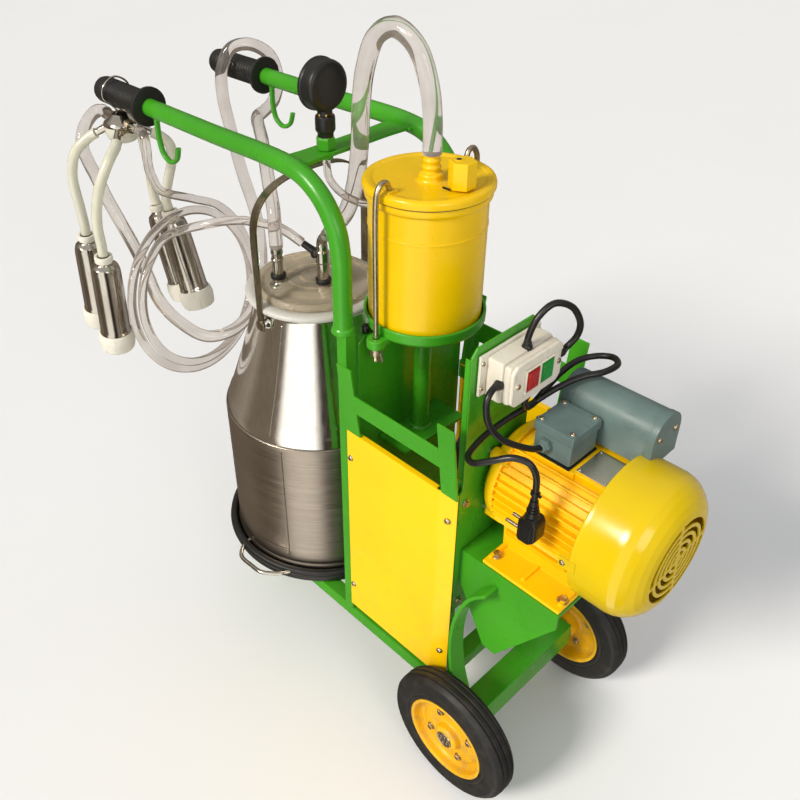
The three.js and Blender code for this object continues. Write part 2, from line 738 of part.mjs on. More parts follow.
// The short hose from each nipple of the claw to its cup: only the points between the two ends.
const CUP_TUBES = [
  [[-578, -168, 762], [-590, -176, 720], [-589, -175, 668]],
  [[-480, -162, 776], [-480, -188, 736], [-486, -199, 684]],
  [[-484, -58, 770], [-502, -48, 734], [-526, -45, 695]],
  [[-578, -54, 768], [-592, -42, 732], [-602, -35, 688]],
];
const NIPPLES = [[-1, -1], [1, -1], [1, 1], [-1, 1]];

function cupTube(line, i) {
  const [x, y, z] = CLAW;
  const [dx, dy] = NIPPLES[i];
  const out = new THREE.Vector3(18 * dx, 18 * dy, -12).normalize();
  const nipple = new THREE.Vector3(x + 30 * dx, y + 30 * dy, z - 12);
  const [top, mouth] = CUPS[i].map((p) => new THREE.Vector3(...p));
  const up = top.clone().sub(mouth).normalize();
  const along = (from, way, far) => from.clone().addScaledVector(way, far).toArray();
  return tube(
    [along(nipple, out, 0.8), along(nipple, out, 10), ...line, along(top, up, 16), along(top, up, 0.5)],
    8,
  );
}

// A moulded angled plug with two pins, hanging from the end of the lead.
function powerPlug() {
  const [x, y, z] = POWER_CABLE.at(-1);
  const body = rod([x, y, z - GAP], [x, y, z - 24], 5, 10, 9);
  const head = box(x - 12, y - 11, z - 62, x + 13, y + 11, z - 22);
  const pins = [-1, 1].map((s) => {
    const at = [x - 11, y + 6.5 * s, z - 46];
    return rod(at, [at[0] - 19, at[1], at[2]], 2.4, 8);
  });
  return join(body, head, ...pins);
}

// ---- the assembly -------------------------------------------------------------------------
add("chassis_frame", chassis(), "green");
add("stand_leg", standLeg(), "green");
add("handle_frame", handleFrame(), "green");
add("rear_wall", rearWall(), "green");
add("front_wall", frontWall(), "green");
add("motor_platform", motorPlatform(), "green");
add("axle", axle(), "zinc");
for (const [name, side] of SIDES) {
  add(`${name}_grip`, grip(side * HANDLE_Y), "rubber");
  add(`${name}_side_panel`, sidePanel(side), "yellow");
  add(`${name}_h_bracket`, hBracket(side), "green");
  add(`${name}_wheel_rim`, rim(side * WHEEL_Y, side), "yellow");
  add(`${name}_tyre`, tyre(side * WHEEL_Y), "rubber");
  add(`${name}_clamp_rod`, clampRod(side), "zinc");
}
add("tank_support", tankSupport(), "green");
add("tank_body", tankBody(), "yellow");
add("tank_lid", tankLid(), "yellow");
add("vacuum_regulator", vacuumRegulator(), "yellow");
add("bucket_tray", bucketTray(), "rubber");
add("bucket_body", bucketBody(), "steel");
add("bucket_gasket", bucketGasket(), "liner");
add("bucket_lid", bucketLid(), "hose");
add("milk_spout", milkSpout(), "steel");
add("vacuum_tee", vacuumTee(), "steel");
add("bucket_bail", bailHandle(), "steel");
add("motor_stator", motorStator(), "motor");
add("drive_end_bell", ring(165, 184.7, SHAFT_RADIUS + GAP, 71), "motor");
add("fan_cowl", fanCowl(), "motor");
add("motor_rotor", motorRotor(), "zinc");
add("terminal_box", terminalBox(), "grey");
add("capacitor_box", capacitorBox(), "grey");
add("vacuum_pump", pumpBody(), "iron");
add("pump_rotor", pumpRotor(), "zinc");
add("switch_box", switchBox(), "cream");
for (const [name, y, material] of BUTTONS) add(name, pushButton(y), material);
add("gauge_body", gaugeBody(), "iron");
add("gauge_needle", gaugeNeedle(), "red");
add("milk_claw", claw(), "steel");
CUPS.forEach((cup, i) => add(`teat_cup_${i + 1}`, teatCup(cup), "steel"));
CUP_TUBES.forEach((line, i) => add(`cup_tube_${i + 1}`, cupTube(line, i), "liner"));
add("milk_hose", tube(MILK_HOSE, 10, 8, 1.5), "hose");
add("pulse_hose", tube(pulseHosePoints(), 7, 8), "hose");
add("vacuum_hose", tube(VACUUM_HOSE, 11.5, 8, 2), "hose");
add("gauge_hose", tube(GAUGE_HOSE, 5, 8), "hose");
add("power_cable", tube(POWER_CABLE, 4, 8), "rubber");
add("power_plug", powerPlug(), "rubber");
add("motor_cable", tube(MOTOR_CABLE, 4, 8), "rubber");
add("switch_cable", tube(SWITCH_CABLE, 4, 8), "rubber");

export default root;
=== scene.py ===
"""A trolley-mounted bucket milking machine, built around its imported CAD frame.

Sizes and places are written in millimetres from the vacuum tank's axis on the floor, as in the
CAD source, and mm() turns them into metres in the row frame.
"""
import math

import bmesh
import bpy
from mathutils import Matrix, Vector


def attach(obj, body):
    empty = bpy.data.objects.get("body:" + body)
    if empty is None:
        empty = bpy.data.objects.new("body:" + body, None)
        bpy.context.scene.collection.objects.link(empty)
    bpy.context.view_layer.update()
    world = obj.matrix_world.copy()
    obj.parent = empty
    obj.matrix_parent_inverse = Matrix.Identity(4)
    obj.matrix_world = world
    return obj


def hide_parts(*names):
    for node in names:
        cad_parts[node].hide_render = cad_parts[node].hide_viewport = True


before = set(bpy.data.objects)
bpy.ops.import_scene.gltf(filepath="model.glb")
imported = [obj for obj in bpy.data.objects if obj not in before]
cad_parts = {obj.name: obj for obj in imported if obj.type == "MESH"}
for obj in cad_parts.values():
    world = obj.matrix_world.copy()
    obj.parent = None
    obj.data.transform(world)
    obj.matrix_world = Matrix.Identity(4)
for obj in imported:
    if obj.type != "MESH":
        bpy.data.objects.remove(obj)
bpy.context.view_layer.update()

ROW_ORIGIN = Vector((-118.2, -30.0, 0.0))  # of the row frame, in millimetres from the tank's axis


def mm(x, y, z):
    return (Vector((x, y, z)) - ROW_ORIGIN) / 1000


# ---- camera -------------------------------------------------------------------------------
AZIMUTH, ELEVATION, ROLL = math.radians(48.255), math.radians(34.653), -0.02873
EYE, LENS_MM, SENSOR_MM, SHIFT = (637.66, -710.56, 1226.53), 38.25, 36, (0.069, -0.044)


def make_camera():
    back = Vector((
        math.sin(AZIMUTH) * math.cos(ELEVATION),
        -math.cos(AZIMUTH) * math.cos(ELEVATION),
        math.sin(ELEVATION),
    ))
    level = Vector((math.cos(AZIMUTH), math.sin(AZIMUTH), 0))
    over = back.cross(level)
    right = math.cos(ROLL) * level + math.sin(ROLL) * over
    up = -math.sin(ROLL) * level + math.cos(ROLL) * over
    data = bpy.data.cameras.new("camera")
    data.lens = LENS_MM
    data.sensor_width = SENSOR_MM
    data.shift_x, data.shift_y = SHIFT
    camera = bpy.data.objects.new("camera", data)
    bpy.context.scene.collection.objects.link(camera)
    turn = Matrix((right, up, back)).transposed().to_4x4()
    camera.matrix_world = Matrix.Translation(mm(*EYE)) @ turn
    bpy.context.scene.camera = camera


make_camera()


# ---- materials ----------------------------------------------------------------------------
def mix_of(tree, share, a, b):
    """A colour between a and b, each a colour or a socket."""
    n = tree.nodes.new("ShaderNodeMix")
    n.data_type = "RGBA"
    tree.links.new(share, n.inputs[0])
    for socket, value in ((n.inputs[6], a), (n.inputs[7], b)):
        if isinstance(value, tuple):
            socket.default_value = (*value, 1)
        else:
            tree.links.new(value, socket)
    return n.outputs[2]


class Finish:
    """A node material in row-frame coordinates."""

    def __init__(self, name, **sockets):
        self.material = bpy.data.materials.new(name)
        self.material.use_nodes = True
        self.tree = self.material.node_tree
        self.tree.nodes.clear()
        self.shader = self.node("ShaderNodeBsdfPrincipled")
        out = self.node("ShaderNodeOutputMaterial")
        self.join(self.shader.outputs[0], out.inputs[0])
        self.place = self.node("ShaderNodeTexCoord").outputs["Object"]
        for socket, value in sockets.items():
            self.shader.inputs[socket.replace("_", " ")].default_value = value

    def node(self, kind):
        return self.tree.nodes.new(kind)

    def join(self, a, b):
        self.tree.links.new(a, b)

    def noise(self, scale, detail=3, stretch=(1, 1, 1)):
        place = self.node("ShaderNodeMapping")
        place.inputs["Scale"].default_value = stretch
        self.join(self.place, place.inputs[0])
        n = self.node("ShaderNodeTexNoise")
        n.inputs["Scale"].default_value = scale
        n.inputs["Detail"].default_value = detail
        self.join(place.outputs[0], n.inputs[0])
        return n.outputs[0]

    def spread(self, value, low, high, to_low=0.0, to_high=1.0):
        n = self.node("ShaderNodeMapRange")
        for i, v in enumerate((low, high, to_low, to_high)):
            n.inputs[i + 1].default_value = v
        self.join(value, n.inputs[0])
        return n.outputs[0]

    def times(self, a, b):
        n = self.node("ShaderNodeMath")
        n.operation = "MULTIPLY"
        self.join(a, n.inputs[0])
        if isinstance(b, (int, float)):
            n.inputs[1].default_value = b
        else:
            self.join(b, n.inputs[1])
        return n.outputs[0]

    def blend(self, a, b, share):
        return mix_of(self.tree, share, a, b)

    def edges(self, low=0.52, high=0.6):
        n = self.node("ShaderNodeNewGeometry")
        return self.spread(n.outputs["Pointiness"], low, high)

    def height(self, low, high):
        n = self.node("ShaderNodeSeparateXYZ")
        self.join(self.place, n.inputs[0])
        return self.spread(n.outputs[2], low, high)

    def colour(self, value):
        self.join(value, self.shader.inputs["Base Color"])

    def rough(self, value):
        self.join(value, self.shader.inputs["Roughness"])

    def bump(self, value, depth, strength=1.0):
        n = self.node("ShaderNodeBump")
        n.inputs["Strength"].default_value = strength
        n.inputs["Distance"].default_value = depth
        self.join(value, n.inputs["Height"])
        self.join(n.outputs[0], self.shader.inputs["Normal"])


def enamel(name, base, dark, roughness=(0.24, 0.36), dust=0.05):
    """Sprayed enamel: colour drift, faint orange peel, dust low down, edges rubbed here and there."""
    f = Finish(name, Coat_Weight=0.12, Coat_Roughness=0.1)
    f.shader.inputs["Specular IOR Level"].default_value = 0.38
    paint = f.blend(base, dark, f.spread(f.noise(7, 4), 0.4, 0.72))
    low = f.times(f.height(0.45, 0.0), f.spread(f.noise(60, 5), 0.45, 0.8))
    paint = f.blend(paint, (0.26, 0.20, 0.12), f.times(low, dust * 4))
    worn = f.times(f.edges(0.6, 0.7), f.spread(f.noise(130, 4), 0.55, 0.68))
    paint = f.blend(paint, tuple(0.4 * c + 0.1 for c in base), f.times(worn, 0.3))
    specks = f.spread(f.noise(430, 2), 0.72, 0.78)
    f.colour(f.blend(paint, tuple(0.5 * c for c in base), f.times(specks, 0.12)))
    f.rough(f.spread(f.noise(26, 5), 0.3, 0.7, *roughness))
    f.bump(f.noise(260, 2), 0.00006, 0.14)
    return f.material


def moulded(name, base, dark, roughness=(0.35, 0.5), grain=900, depth=0.00008):
    """Moulded plastic with a fine spark-eroded grain and faint handling marks."""
    f = Finish(name)
    tone = f.blend(base, dark, f.spread(f.noise(14, 5), 0.4, 0.7))
    marks = f.spread(f.noise(45, 6, (1, 5, 1)), 0.58, 0.72)
    tone = f.blend(tone, tuple(0.6 * c for c in dark), f.times(marks, 0.35))
    f.colour(tone)
    f.rough(f.spread(f.noise(40, 4), 0.3, 0.7, *roughness))
    f.bump(f.noise(grain, 2), depth, 0.5)
    return f.material


def rubber(name, base, dust, roughness, amount):
    """Rubber with a cover of dust in patches."""
    f = Finish(name)
    cover = f.times(f.spread(f.noise(55, 6), 0.45, 0.8), amount)
    f.colour(f.blend(base, dust, cover))
    f.rough(f.spread(f.noise(30, 4), 0.3, 0.7, *roughness))
    f.bump(f.noise(420, 4), 0.0003, 0.35)
    return f.material


def worked_metal(name, base, dark, roughness, stretch=(1, 1, 1), scale=200, depth=0.00004):
    """Steel or zinc: grain along the working direction, soft smears and small stains."""
    f = Finish(name, Metallic=1.0)
    grain = f.noise(scale, 3, stretch)
    stain = f.spread(f.noise(16, 6), 0.45, 0.75)
    tone = f.blend(base, dark, f.times(stain, 0.6))
    tone = f.blend(tone, dark, f.times(f.spread(grain, 0.45, 0.62), 0.35))
    f.colour(tone)
    f.rough(f.spread(f.noise(scale * 0.6, 4, stretch), 0.3, 0.7, *roughness))
    f.bump(grain, depth, 0.35)
    return f.material


def clear(name, base, dark, transmission, ior, roughness, ripple=0.08):
    """Clouded soft plastic: patches of milk film and a slightly uneven gloss."""
    f = Finish(name, Transmission_Weight=transmission, IOR=ior)
    film = f.spread(f.noise(24, 5), 0.42, 0.72)
    f.colour(f.blend(base, dark, film))
    f.rough(f.spread(f.noise(60, 3), 0.3, 0.7, *roughness))
    f.bump(f.noise(90, 3), 0.0001, ripple)
    return f.material


GREEN = enamel("green_enamel", (0.052, 0.335, 0.012), (0.040, 0.270, 0.010))
YELLOW = enamel("yellow_enamel", (1.0, 0.60, 0.0), (0.94, 0.54, 0.0), (0.3, 0.42))
TANK_YELLOW = enamel("tank_enamel", (0.86, 0.54, 0.0), (0.79, 0.48, 0.0), (0.2, 0.3))
MOTOR_YELLOW = enamel("motor_enamel", (1.0, 0.59, 0.0), (0.92, 0.51, 0.0), (0.3, 0.42))
COWL_YELLOW = enamel("cowl_enamel", (0.70, 0.49, 0.0), (0.60, 0.41, 0.0), (0.16, 0.26))
RIM_YELLOW = enamel("rim_enamel", (0.84, 0.46, 0.0), (0.72, 0.37, 0.0), (0.34, 0.5), 0.16)
GREY = moulded("grey_plastic", (0.125, 0.185, 0.175), (0.09, 0.135, 0.13))
CREAM = moulded("cream_plastic", (0.74, 0.69, 0.58), (0.64, 0.58, 0.47))
RED = moulded("red_plastic", (0.42, 0.008, 0.008), (0.30, 0.006, 0.006), (0.2, 0.35))
BUTTON_GREEN = moulded("green_plastic", (0.008, 0.24, 0.025), (0.006, 0.17, 0.02), (0.2, 0.35))
BLACK_PLASTIC = moulded("black_plastic", (0.008, 0.008, 0.008), (0.004, 0.004, 0.004), (0.26, 0.45))
GRIP = rubber("grip_rubber", (0.006, 0.006, 0.006), (0.02, 0.018, 0.016), (0.38, 0.55), 0.3)
TYRE = rubber("tyre_rubber", (0.006, 0.006, 0.006), (0.06, 0.045, 0.03), (0.5, 0.72), 0.35)
CABLE = rubber("cable_sheath", (0.005, 0.005, 0.005), (0.02, 0.02, 0.02), (0.25, 0.42), 0.2)
TRAY = rubber("tray_rubber", (0.008, 0.008, 0.008), (0.03, 0.025, 0.02), (0.35, 0.55), 0.3)
CONE = worked_metal("polished_steel", (0.86, 0.84, 0.80), (0.70, 0.67, 0.62), (0.09, 0.16), (1, 1, 0.06))
WALL = worked_metal("brushed_steel", (0.40, 0.35, 0.295), (0.29, 0.25, 0.205), (0.26, 0.38),
                    (0.05, 0.05, 3), 160)
STEEL = worked_metal("bright_steel", (0.52, 0.49, 0.44), (0.38, 0.34, 0.29), (0.10, 0.19), (1, 1, 0.2))
ZINC = worked_metal("zinc_plate", (0.55, 0.47, 0.34), (0.30, 0.24, 0.16), (0.22, 0.4))
BAIL = worked_metal("bail_steel", (0.34, 0.30, 0.21), (0.20, 0.17, 0.11), (0.2, 0.34), (1, 1, 0.2))
IRON = moulded("dark_iron", (0.014, 0.015, 0.016), (0.008, 0.008, 0.008), (0.3, 0.5), 260, 0.0003)
BRASS = worked_metal("brass", (0.55, 0.33, 0.10), (0.32, 0.18, 0.05), (0.2, 0.35))
PLATE = worked_metal("blank_plate", (0.72, 0.68, 0.58), (0.50, 0.46, 0.38), (0.3, 0.45), (6, 1, 1), 300)
HOSE = clear("clear_hose", (0.80, 0.75, 0.71), (0.68, 0.62, 0.58), 0.90, 1.38, (0.03, 0.09))
LID = clear("clear_lid", (0.90, 0.80, 0.64), (0.80, 0.70, 0.54), 0.72, 1.3, (0.10, 0.2))
LINER = clear("milky_liner", (0.84, 0.82, 0.68), (0.74, 0.72, 0.56), 0.3, 1.4, (0.16, 0.26), 0.05)
MOUTH = moulded("cream_rubber", (0.80, 0.76, 0.66), (0.70, 0.66, 0.55), (0.4, 0.55))
SOFT_GREY = moulded("grey_gasket", (0.60, 0.58, 0.54), (0.50, 0.47, 0.43), (0.35, 0.5))
GLASS = clear("dial_glass", (0.95, 0.95, 0.95), (0.9, 0.9, 0.9), 0.98, 1.45, (0.02, 0.05), 0.01)
DIAL = moulded("dial_white", (0.85, 0.85, 0.82), (0.78, 0.78, 0.74), (0.3, 0.4))

# The colour slot that each finish belongs to. done() looks it up where it is given no other slot, but does
# nothing with the result.
SLOTS = {
    "frame_green": [GREEN], "panel_yellow": [YELLOW], "tank_yellow": [TANK_YELLOW],
    "motor_yellow": [MOTOR_YELLOW, COWL_YELLOW], "rim_yellow": [RIM_YELLOW], "box_grey": [GREY],
    "switch_cream": [CREAM, DIAL], "stop_red": [RED], "start_green": [BUTTON_GREEN],
    "black_rubber": [BLACK_PLASTIC, GRIP, CABLE, TRAY], "tyre": [TYRE],
    "bucket_steel": [CONE, WALL, STEEL, BAIL], "zinc_steel": [ZINC, PLATE], "dark_iron": [IRON],
    "brass": [BRASS], "clear_hose": [HOSE], "lid_clear": [LID, GLASS],
    "liner_rubber": [LINER, MOUTH, SOFT_GREY],
}
SLOT_OF = {finish.name: slot for slot, finishes in SLOTS.items() for finish in finishes}


# ---- shapes -------------------------------------------------------------------------------
def smooth_line(points, step):
    """Points a few millimetres apart on the centripetal curve through the given points."""
    knots = [Vector(p) for p in points]
    knots.insert(0, 2 * knots[0] - knots[1])
    knots.append(2 * knots[-1] - knots[-2])
    line = []
    for p0, p1, p2, p3 in zip(knots, knots[1:], knots[2:], knots[3:]):
        d0, d1, d2 = (max((b - a).length ** 0.5, 1e-4) for a, b in ((p0, p1), (p1, p2), (p2, p3)))
        t1 = ((p1 - p0) / d0 - (p2 - p0) / (d0 + d1) + (p2 - p1) / d1) * d1
        t2 = ((p2 - p1) / d1 - (p3 - p1) / (d1 + d2) + (p3 - p2) / d2) * d1
        count = max(1, round((p2 - p1).length / step))
        for i in range(count):
            t = i / count
            cubic = (2 * p1 - 2 * p2 + t1 + t2) * t ** 3 + (3 * p2 - 3 * p1 - 2 * t1 - t2) * t ** 2
            line.append(p1 + t1 * t + cubic)
    line.append(knots[-2])
    return line


def across(direction):
    """Two unit vectors at right angles to a direction."""
    d = Vector(direction).normalized()
    side = Vector((0, 0, 1)) if abs(d.z) < 0.9 else Vector((1, 0, 0))
    u = d.cross(side).normalized()
    return u, d.cross(u)


def soften(profile, radius, closed=False):
    """The profile with its corners rounded."""
    points = [Vector(p) for p in profile]
    out = []
    n = len(points)
    for i, p in enumerate(points):
        if not closed and i in (0, n - 1):
            out.append(tuple(p))
            continue
        a, b = points[i - 1] - p, points[(i + 1) % n] - p
        if min(a.length, b.length) < 1e-6 or a.normalized().dot(b.normalized()) < -0.985:
            out.append(tuple(p))
            continue
        r = min(radius, 0.45 * a.length, 0.45 * b.length)
        start, end = p + a.normalized() * r, p + b.normalized() * r
        for t in (0.0, 0.33, 0.67, 1.0):
            out.append(tuple((1 - t) ** 2 * start + 2 * t * (1 - t) * p + t ** 2 * end))
    return out


def spoke(angle):
    """The outward and the sideways unit vector at an angle round an axis along x."""
    return Vector((0, math.cos(angle), math.sin(angle))), Vector((0, -math.sin(angle), math.cos(angle)))


def pair_faces(n):
    """The faces of a closed shell between two outlines of n points each."""
    walls = [(i, (i + 1) % n, n + (i + 1) % n, n + i) for i in range(n)]
    return [tuple(range(n)), tuple(range(n, 2 * n)), *walls]


BOX_FACES = [(0, 1, 3, 2), (4, 6, 7, 5), (0, 4, 5, 1), (2, 3, 7, 6), (0, 2, 6, 4), (1, 5, 7, 3)]
X_AXIS = (1, 0, 0)
SHARP_EDGE, CREASE = 0.5, math.radians(38)  # angles between faces, in radians


class Piece:
    """A visible piece made of closed shells, in millimetres from the tank's axis."""

    def __init__(self):
        self.bm = bmesh.new()

    def shell(self, points, faces, bevel=0.0):
        """Adds a closed shell, with its sharp edges rounded."""
        part = bmesh.new()
        made = [part.verts.new(p) for p in points]
        for face in faces:
            part.faces.new([made[i] for i in face])
        bmesh.ops.recalc_face_normals(part, faces=part.faces)
        if bevel:
            sharp = [e for e in part.edges if e.is_manifold and e.calc_face_angle() > SHARP_EDGE]
            bmesh.ops.bevel(
                part, geom=sharp, offset=bevel, segments=2, profile=0.5,
                affect="EDGES", clamp_overlap=True,
            )
        mesh = bpy.data.meshes.new("part")
        part.to_mesh(mesh)
        part.free()
        self.bm.from_mesh(mesh)
        bpy.data.meshes.remove(mesh)

    def box(self, x0, y0, z0, x1, y1, z1, bevel=1.2):
        points = [(x, y, z) for x in (x0, x1) for y in (y0, y1) for z in (z0, z1)]
        self.shell(points, BOX_FACES, bevel)

    def bar(self, origin, u, v, levels, spans, bevel=0.0):
        """A bar between two levels of x: spans pairs distances along u with half widths along v."""
        points = []
        for x in levels:
            for reach, half in spans:
                points += [origin + Vector((x, 0, 0)) + u * reach + v * s * half for s in (-1, 1)]
        self.shell(points, BOX_FACES, bevel)

    def prism(self, outline, plane, start, thickness, bevel=0.8):
        """A flat outline pushed along its normal: plane names the outline's two axes."""
        ends = []
        for level in (start, start + thickness):
            for u, v in outline:
                ends.append({"xy": (u, v, level), "xz": (u, level, v), "yz": (level, u, v)}[plane])
        self.shell(ends, pair_faces(len(outline)), bevel)

    def lathe(self, profile, centre, axis=(0, 0, 1), segments=64, closed=False):
        """A profile of radii and heights turned round an axis. On the axis, a ring is one point."""
        centre, axis = Vector(centre), Vector(axis).normalized()
        u, v = across(axis)
        points, rings, faces = [], [], []
        for r, h in profile:
            if r < 1e-6:
                rings.append([len(points)] * segments)
                points.append(centre + axis * h)
                continue
            rings.append([len(points) + i for i in range(segments)])
            for i in range(segments):
                a = 2 * math.pi * i / segments
                points.append(centre + axis * h + (u * math.cos(a) + v * math.sin(a)) * r)
        pairs = list(zip(rings, rings[1:]))
        if closed:
            pairs.append((rings[-1], rings[0]))
        for low, high in pairs:
            for i in range(segments):
                j = (i + 1) % segments
                face = list(dict.fromkeys((low[i], low[j], high[j], high[i])))
                if len(face) > 2:
                    faces.append(face)
        self.shell(points, faces)

    def turned(self, profile, soft, centre, segments, axis=(0, 0, 1)):
        """A solid of revolution with softened corners."""
        self.lathe(soften(profile, soft), centre, axis, segments)

    def ring(self, profile, soft, centre, segments, axis=(0, 0, 1)):
        """A ring of revolution: its profile closes on itself, clear of the axis."""
        self.lathe(soften(profile, soft, True), centre, axis, segments, True)

    def rod(self, a, b, radius, end_radius=None, segments=24, edge=0.8):
        """A round bar between two points, tapered where it has an end radius."""
        a, b = Vector(a), Vector(b)
        end = radius if end_radius is None else end_radius
        length = (b - a).length
        self.turned([(0, 0), (radius, 0), (end, length), (0, length)], edge, a, segments, b - a)

    def tube(self, points, radius, sides=16, step=4.0, squash=1.0):
        """A bent round bar. Squash flattens its section along one direction."""
        line = smooth_line(points, step)
        u, v = across(line[1] - line[0])
        rings, out, faces = [], [], []
        for i, p in enumerate(line):
            d = (line[min(i + 1, len(line) - 1)] - line[max(i - 1, 0)]).normalized()
            u = (u - d * u.dot(d)).normalized()
            v = d.cross(u)
            rings.append(range(len(out), len(out) + sides))
            for k in range(sides):
                a = 2 * math.pi * k / sides
                out.append(p + u * math.cos(a) * radius + v * math.sin(a) * radius * squash)
        for low, high in zip(rings, rings[1:]):
            for k in range(sides):
                j = (k + 1) % sides
                faces.append((low[k], low[j], high[j], high[k]))
        faces += [tuple(rings[0]), tuple(rings[-1])]
        self.shell(out, faces)

    def screw(self, at, axis, radius=4.0, kind="pan"):
        """A screw head standing on a surface: pan with a socket, or hexagon with a washer."""
        if kind == "pan":
            h = radius * 0.62
            profile = [(0, h - radius * 0.4), (radius * 0.42, h - radius * 0.4), (radius * 0.46, h)]
            profile += [(radius * 0.7, h * 0.93), (radius * 0.93, h * 0.6), (radius, 0), (0, 0)]
            self.lathe(profile, at, axis, 18)
            return
        ring = [(0, 0), (radius * 1.35, 0), (radius * 1.35, radius * 0.3), (0, radius * 0.3)]
        self.turned(ring, 0.3, at, 24, axis)
        top = radius * 1.05
        head = [(0, radius * 0.3), (radius, radius * 0.3), (radius, top - 0.5)]
        head += [(radius * 0.86, top), (0, top)]
        self.lathe(head, at, axis, 6)

    def done(self, name, material, body="frame", replaces=(), slot=None):
        """Turns the shells into an object that rides on a body."""
        bm = self.bm
        for v in bm.verts:
            v.co = mm(*v.co)
        bmesh.ops.recalc_face_normals(bm, faces=bm.faces)
        for face in bm.faces:
            face.smooth = True
        for edge in bm.edges:
            edge.smooth = not (edge.is_manifold and edge.calc_face_angle() > CREASE)
        mesh = bpy.data.meshes.new(name)
        bm.to_mesh(mesh)
        bm.free()
        mesh.materials.append(material)
        piece = bpy.data.objects.new(name, mesh)
        bpy.context.scene.collection.objects.link(piece)
        normals = piece.modifiers.new("normals", "WEIGHTED_NORMAL")
        normals.keep_sharp = True
        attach(piece, body)
        if replaces:
            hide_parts(*([replaces] if isinstance(replaces, str) else replaces))
        slot or SLOT_OF[material.name]
        return piece


def fasteners(name, spots, axis, radius, kind="pan"):
    """One zinc piece of screw heads that all face the same way."""
    heads = Piece()
    for spot in spots:
        heads.screw(spot, axis, radius, kind)
    heads.done(name, ZINC)


# ---- hoses and cables ---------------------------------------------------------------------
def cord(name, points, diameter, material,
         with_pieces=()):
    """A free hose or cable along the CAD route, as one open spline."""
    line = smooth_line(points, 3.0)
    curve = bpy.data.curves.new(name, "CURVE")
    curve.dimensions = "3D"
    spline = curve.splines.new("POLY")
    spline.points.add(len(line) - 1)
    for knot, p in zip(spline.points, line):
        knot.co = (*mm(*p), 1)
    spline.use_smooth = True
    curve.bevel_depth = diameter / 2000
    curve.bevel_resolution = 4
    curve.use_fill_caps = True
    curve.materials.append(material)
    piece = bpy.data.objects.new(name, curve)
    bpy.context.scene.collection.objects.link(piece)
    length = sum((b - a).length for a, b in zip(line, line[1:])) / 1000
    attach(piece, "frame")
    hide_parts(name.replace("_line", ""))
    tuple(mm(*points[0]))


MILK_HOSE = [
    (-572, -108, 810.1), (-582, -108, 811), (-596, -112, 808), (-608, -121, 796),
    (-612, -134, 776), (-604, -143, 756), (-584, -148, 740), (-556, -153, 724),
    (-529, -156, 700), (-513, -150, 666), (-489, -142, 617), (-469, -140, 579),
    (-448, -138, 539), (-417, -125, 507), (-385, -98, 482), (-372, -51, 481), (-383, 4, 503),
    (-411, 43, 550), (-446, 66, 620), (-478, 68, 690), (-496, 66, 760), (-502, 62, 812),
    (-508, 69, 850), (-502, 86, 881), (-486, 112, 885), (-472, 138, 866), (-463, 144, 832),
    (-458, 130, 800), (-448, 100, 790), (-430, 74, 792), (-363, 30, 780), (-300, -12, 752),
    (-258, -38, 722), (-249, -45, 696), (-249, -45, 684), (-249, -45, 672.4),
]
COIL = {"x": -428, "y": -74, "z": 541, "inner": 113, "outer": 141, "from": 110, "to": 795, "turned": 100}


def pulse_route():
    points = [
        (-217.4, -22.2, 682.3), (-224, -25.8, 687), (-256, -28, 693), (-310, -30, 686),
        (-358, -38, 676), (-404, -60, 662),
    ]
    heading = math.radians(COIL["turned"])
    for degrees in range(COIL["from"], COIL["to"] + 1, 22):
        share = (degrees - COIL["from"]) / (COIL["to"] - COIL["from"])
        radius = COIL["inner"] + share * (COIL["outer"] - COIL["inner"])
        a = math.radians(degrees)
        across, up = radius * math.cos(a), radius * math.sin(a)
        x = COIL["x"] + across * math.cos(heading) - 0.2 * up - 16 * share
        points.append((x, COIL["y"] + across * math.sin(heading), COIL["z"] + 0.98 * up))
    points += [(-478, -88, 704), (-466, -106, 736), (-450, -118, 764), (-440, -122, 788)]
    points += [(-446, -119, 806), (-461, -115, 810.5), (-480.4, -112, 808.1)]
    return points


VACUUM_HOSE = [
    (8, -5, 868.4), (8, -5, 880), (8, -6, 910), (4, -10, 950), (-12, -14, 986), (-42, -17, 1002),
    (-70, -18, 988), (-88, -18, 950), (-97, -17, 905), (-103, -15, 850), (-116, -12, 795),
    (-138, -10, 748), (-158, -9, 726), (-169.3, -8.1, 712), (-176.6, -8, 702.5),
]
GAUGE_HOSE = [
    (-137, -40, 840.6), (-137, -40, 832), (-134, -39, 808), (-116, -34, 791), (-92, -28, 785),
    (-72.6, -22, 785),
]
POWER_CABLE = [
    (196, -42, 640.6), (196, -41.6, 631), (194, -34, 619), (191, -16, 613), (188, 8, 617),
    (187, 40, 627), (191, 72, 633), (204, 92, 636), (222, 97, 640), (236, 84, 643),
    (234, 60, 643), (219, 36, 640), (203, 12, 628), (187, -18, 609), (177, -56, 598),
    (174, -90, 590), (180, -118, 586), (196, -128, 592), (216, -122, 604), (236, -111, 614),
    (252, -103, 611), (260, -99.5, 597), (262, -99, 580), (262, -99, 562),
]
MOTOR_CABLE = [
    (184, -78.6, 668), (184, -87, 667.6), (185, -97, 661), (188, -102, 646), (194, -101, 628),
    (204, -90, 609), (216, -70, 594), (225, -50, 584), (226, -35, 582),
]
SWITCH_CABLE = [
    (183, -30, 697.6), (183, -30, 708), (186, -20, 732), (193, -2, 745), (204, 16, 738),
    (210, 29, 714), (206, 32, 692), (200, 25, 679), (200, 14.7, 678),
]
CLAW = Vector((-527, -108, 802))
NIPPLES = [(-1, -1), (1, -1), (1, 1), (-1, 1)]
CUPS = [
    [(-590, -174, 622), (-600, -174, 478)],
    [(-490, -198, 628), (-500, -198, 484)],
    [(-536, -46, 640), (-500, -40, 500)],
    [(-596, -34, 628), (-560, -28, 488)],
]
